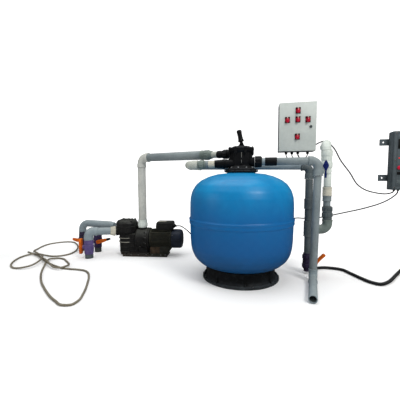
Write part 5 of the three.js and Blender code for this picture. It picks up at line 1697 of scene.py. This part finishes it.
DRAIN_LINE = [
    (525, 158, 26), (549, 168, 18), (577, 212, 13), (595, 265, 13), (638, 288, 13),
    (684, 294, 13), (780, 265, 13), (816, 189, 13), (863, 79, 13), (899, 17, 13),
    (944, -11, 13), (1014, 40, 13), (1136, 209, 13), (1240, 360, 13), (1330, 480, 13)]
add_piece("drain_line", [
    cable(DRAIN_LINE, 11, seg=26),
    turned([(0, 0), (14, 0), (14, 12), (12, 14), (0, 14)], 1, 2, 28, (526, 158.4, 25.5),
           (24, 10, -8))],
    "hose_black", "drain_hose")

FLOOR_HOSE = [
    (-2126, 249, 8), (-2060, 220, 8), (-1994, 192, 8), (-1929, 160, 8), (-1867, 123, 8),
    (-1809, 80, 8), (-1752, 36, 8), (-1692, -4, 8), (-1629, -40, 8), (-1566, -74, 8),
    (-1500, -103, 8), (-1432, -126, 8), (-1360, -135, 8), (-1288, -135, 8), (-1218, -147, 8),
    (-1160, -188, 8), (-1115, -244, 8), (-1076, -305, 8), (-1041, -368, 8), (-1007, -432, 8),
    (-975, -496, 8), (-946, -562, 8), (-921, -630, 8), (-925, -698, 8), (-982, -713, 8),
    (-1045, -679, 8), (-1107, -641, 8), (-1165, -599, 8), (-1222, -554, 8), (-1277, -508, 8),
    (-1332, -461, 8), (-1384, -411, 8), (-1434, -359, 8), (-1481, -305, 8), (-1527, -248, 8),
    (-1569, -190, 8), (-1609, -130, 10), (-1646, -68, 18.5), (-1680, -4, 24.4),
    (-1705, 62, 16.3), (-1670, 114, 8.6), (-1604, 103, 8), (-1547, 60, 8), (-1491, 14, 8),
    (-1442, -38, 13.4), (-1410, -102, 22.1), (-1431, -155, 21.1), (-1499, -146, 16.6),
    (-1562, -111, 25), (-1622, -71, 33.7), (-1680, -29, 37.7), (-1738, 14, 29.2),
    (-1796, 57, 23), (-1855, 98, 20.2), (-1916, 137, 19.4), (-1980, 168, 18.3),
    (-2036, 140, 9.8), (-2040, 72, 8), (-2017, 3, 8), (-1985, -61, 8), (-1943, -120, 8),
    (-1892, -170, 8), (-1830, -204, 8.1), (-1759, -203, 14.4), (-1706, -162, 23.1),
    (-1704, -92, 31.8), (-1726, -24, 40.4), (-1766, 36, 42.8), (-1821, 81, 39.2),
    (-1883, 119, 36.5), (-1945, 155, 38.4), (-2004, 197, 31.4), (-2054, 249, 22.8),
    (-2094, 309, 14.1), (-2125, 373, 8.1), (-2150, 441, 8), (-2166, 511, 8), (-2166, 583, 8),
    (-2137, 648, 8), (-2087, 699, 8), (-2022, 727, 8), (-1953, 717, 8), (-1895, 675, 8),
    (-1843, 625, 8), (-1795, 571, 8), (-1752, 513, 8), (-1716, 451, 8), (-1685, 386, 8),
    (-1666, 316, 8), (-1669, 245, 8), (-1708, 188, 8), (-1773, 160, 8.8), (-1844, 152, 16.9),
    (-1904, 156, 24.1)]
add_piece("loose_hose", [
    tube(spline(FLOOR_HOSE, 5),
         [(0, 0), (0, 5.4), (0, 6.4), (1, 7.2), (-1, 7.2), (END, 6.4), (END, 4.8), (-14, 4.8),
          (-14, 0)], 20, dense=9)],
    "hose_clear", "floor_hose", angle=50)


# =====================================================================
# floor: a sheet that curves up at the back (metres)
# =====================================================================
def floor_material():
    """Near-white floor that glows towards its edges for the camera and looks dark in gloss."""
    mat = Nodes("floor")
    mat.bsdf.inputs["Emission Color"].default_value = (1, 1, 1, 1)
    rays = mat.node("ShaderNodeLightPath").outputs
    x, y, _ = mat.split()
    glow = mat.math("ADD", mat.remap(mat.math("ABSOLUTE", x), 2.3, 4.4, to_high=0.6),
                    mat.remap(y, -1.5, -3.4, to_high=0.6))
    glow = mat.math("ADD", glow, mat.remap(y, 0.1, 1.9, to_low=0.04, to_high=0.6))
    mat.link(mat.math("MULTIPLY", rays["Is Camera Ray"], glow),
             mat.bsdf.inputs["Emission Strength"])
    mottle = mat.ramp(mat.noise(scale=1.2, detail=3, rough=0.5), (0.3, 0.0), (0.7, 1.0))
    colour = mat.mix(mottle, (0.88, 0.88, 0.88), (0.91, 0.91, 0.905))
    mat.finish(mat.mix(rays["Is Glossy Ray"], colour, (0.16, 0.16, 0.16)), 0.85)


floor_material()
FLOOR_HALF, FLOOR_FRONT, CURVE_Y, CURVE_RADIUS, FLOOR_TOP = 14, -9.0, 3.2, 3.0, 9.0
profile = [(FLOOR_FRONT, 0.0), (CURVE_Y, 0.0)]
for degrees in range(10, 91, 10):
    profile.append((CURVE_Y + CURVE_RADIUS * math.sin(math.radians(degrees)),
                    CURVE_RADIUS - CURVE_RADIUS * math.cos(math.radians(degrees))))
profile.append((CURVE_Y + CURVE_RADIUS, FLOOR_TOP))
mesh = bpy.data.meshes.new("floor")
bm = bmesh.new()
rows = [[bm.verts.new((x, y, z)) for x in (-FLOOR_HALF, FLOOR_HALF)] for y, z in profile]
for near, far in zip(rows, rows[1:]):
    bm.faces.new((near[0], near[1], far[1], far[0]))
bm.to_mesh(mesh)
bm.free()
for face in mesh.polygons:
    face.use_smooth = True
floor = bpy.data.objects.new("floor", mesh)
mesh.materials.append(MATERIALS["floor"])
scene.collection.objects.link(floor)

# =====================================================================
# world, lights, camera
# =====================================================================
WORLD_LIGHT = 0.52             # strength for rays that light the scene
WORLD_SEEN = 1.0               # strength seen by the camera
GLOSS_CHANGE = -0.34           # added for reflections
world = bpy.data.worlds.new("studio")
scene.world = world
world.use_nodes = True
tree = world.node_tree
background = tree.nodes["Background"]
background.inputs["Color"].default_value = (1.0, 1.0, 1.0, 1)
rays = tree.nodes.new("ShaderNodeLightPath").outputs
seen = tree.nodes.new("ShaderNodeMapRange")
seen.inputs["To Min"].default_value = WORLD_LIGHT
seen.inputs["To Max"].default_value = WORLD_SEEN
tree.links.new(rays["Is Camera Ray"], seen.inputs["Value"])
strength = tree.nodes.new("ShaderNodeMath")
strength.operation = "MULTIPLY_ADD"
strength.inputs[1].default_value = GLOSS_CHANGE
tree.links.new(rays["Is Glossy Ray"], strength.inputs[0])
tree.links.new(seen.outputs["Result"], strength.inputs[2])
tree.links.new(strength.outputs[0], background.inputs["Strength"])
scene.view_settings.view_transform = "Standard"
scene.view_settings.look = "None"


def area_light(name, location, target, size, power, colour=(1, 1, 1)):
    """Rectangular light aimed at target; size is (width, height)."""
    light = bpy.data.lights.new(name, "AREA")
    light.energy = power
    light.color = colour
    light.shape = "RECTANGLE"
    light.size, light.size_y = size
    lamp = bpy.data.objects.new(name, light)
    scene.collection.objects.link(lamp)
    lamp.location = location
    aim = Vector(target) - Vector(location)
    lamp.rotation_euler = aim.to_track_quat("-Z", "Y").to_euler()


area_light("key", location=(2.2, -2.4, 3.4), target=(0, 0.2, 0.4), size=(1.4, 1.2), power=104,
           colour=(1, 0.99, 0.97))
area_light("top", location=(-0.6, 0.2, 3.6), target=(-0.3, 0.2, 0), size=(3.2, 3.2), power=74,
           colour=(0.97, 0.985, 1))
area_light("left", location=(-3.4, -2.2, 1.6), target=(-0.5, 0.2, 0.4), size=(1.6, 1.6),
           power=16)

CAMERA_PLACE = (0.1294, -2.0637, 0.7299)
VIEW = Vector((-0.20733, 0.97540, -0.07503)).normalized()
LEVEL_RIGHT = Vector((0.97815, 0.20791, 0)).normalized()
ROLL_SINE = -0.003229
camera_data = bpy.data.cameras.new("camera")
camera = bpy.data.objects.new("camera", camera_data)
scene.collection.objects.link(camera)
scene.camera = camera
camera_data.sensor_width = 36
camera_data.sensor_fit = "HORIZONTAL"
camera_data.lens = 24.93072
level_up = LEVEL_RIGHT.cross(VIEW).normalized()
right = LEVEL_RIGHT * math.sqrt(1 - ROLL_SINE * ROLL_SINE) + level_up * ROLL_SINE
up = right.cross(VIEW).normalized()
camera.matrix_world = Matrix([(right[i], up[i], -VIEW[i], CAMERA_PLACE[i]) for i in range(3)]
                             + [(0, 0, 0, 1)])

bpy.context.view_layer.update()
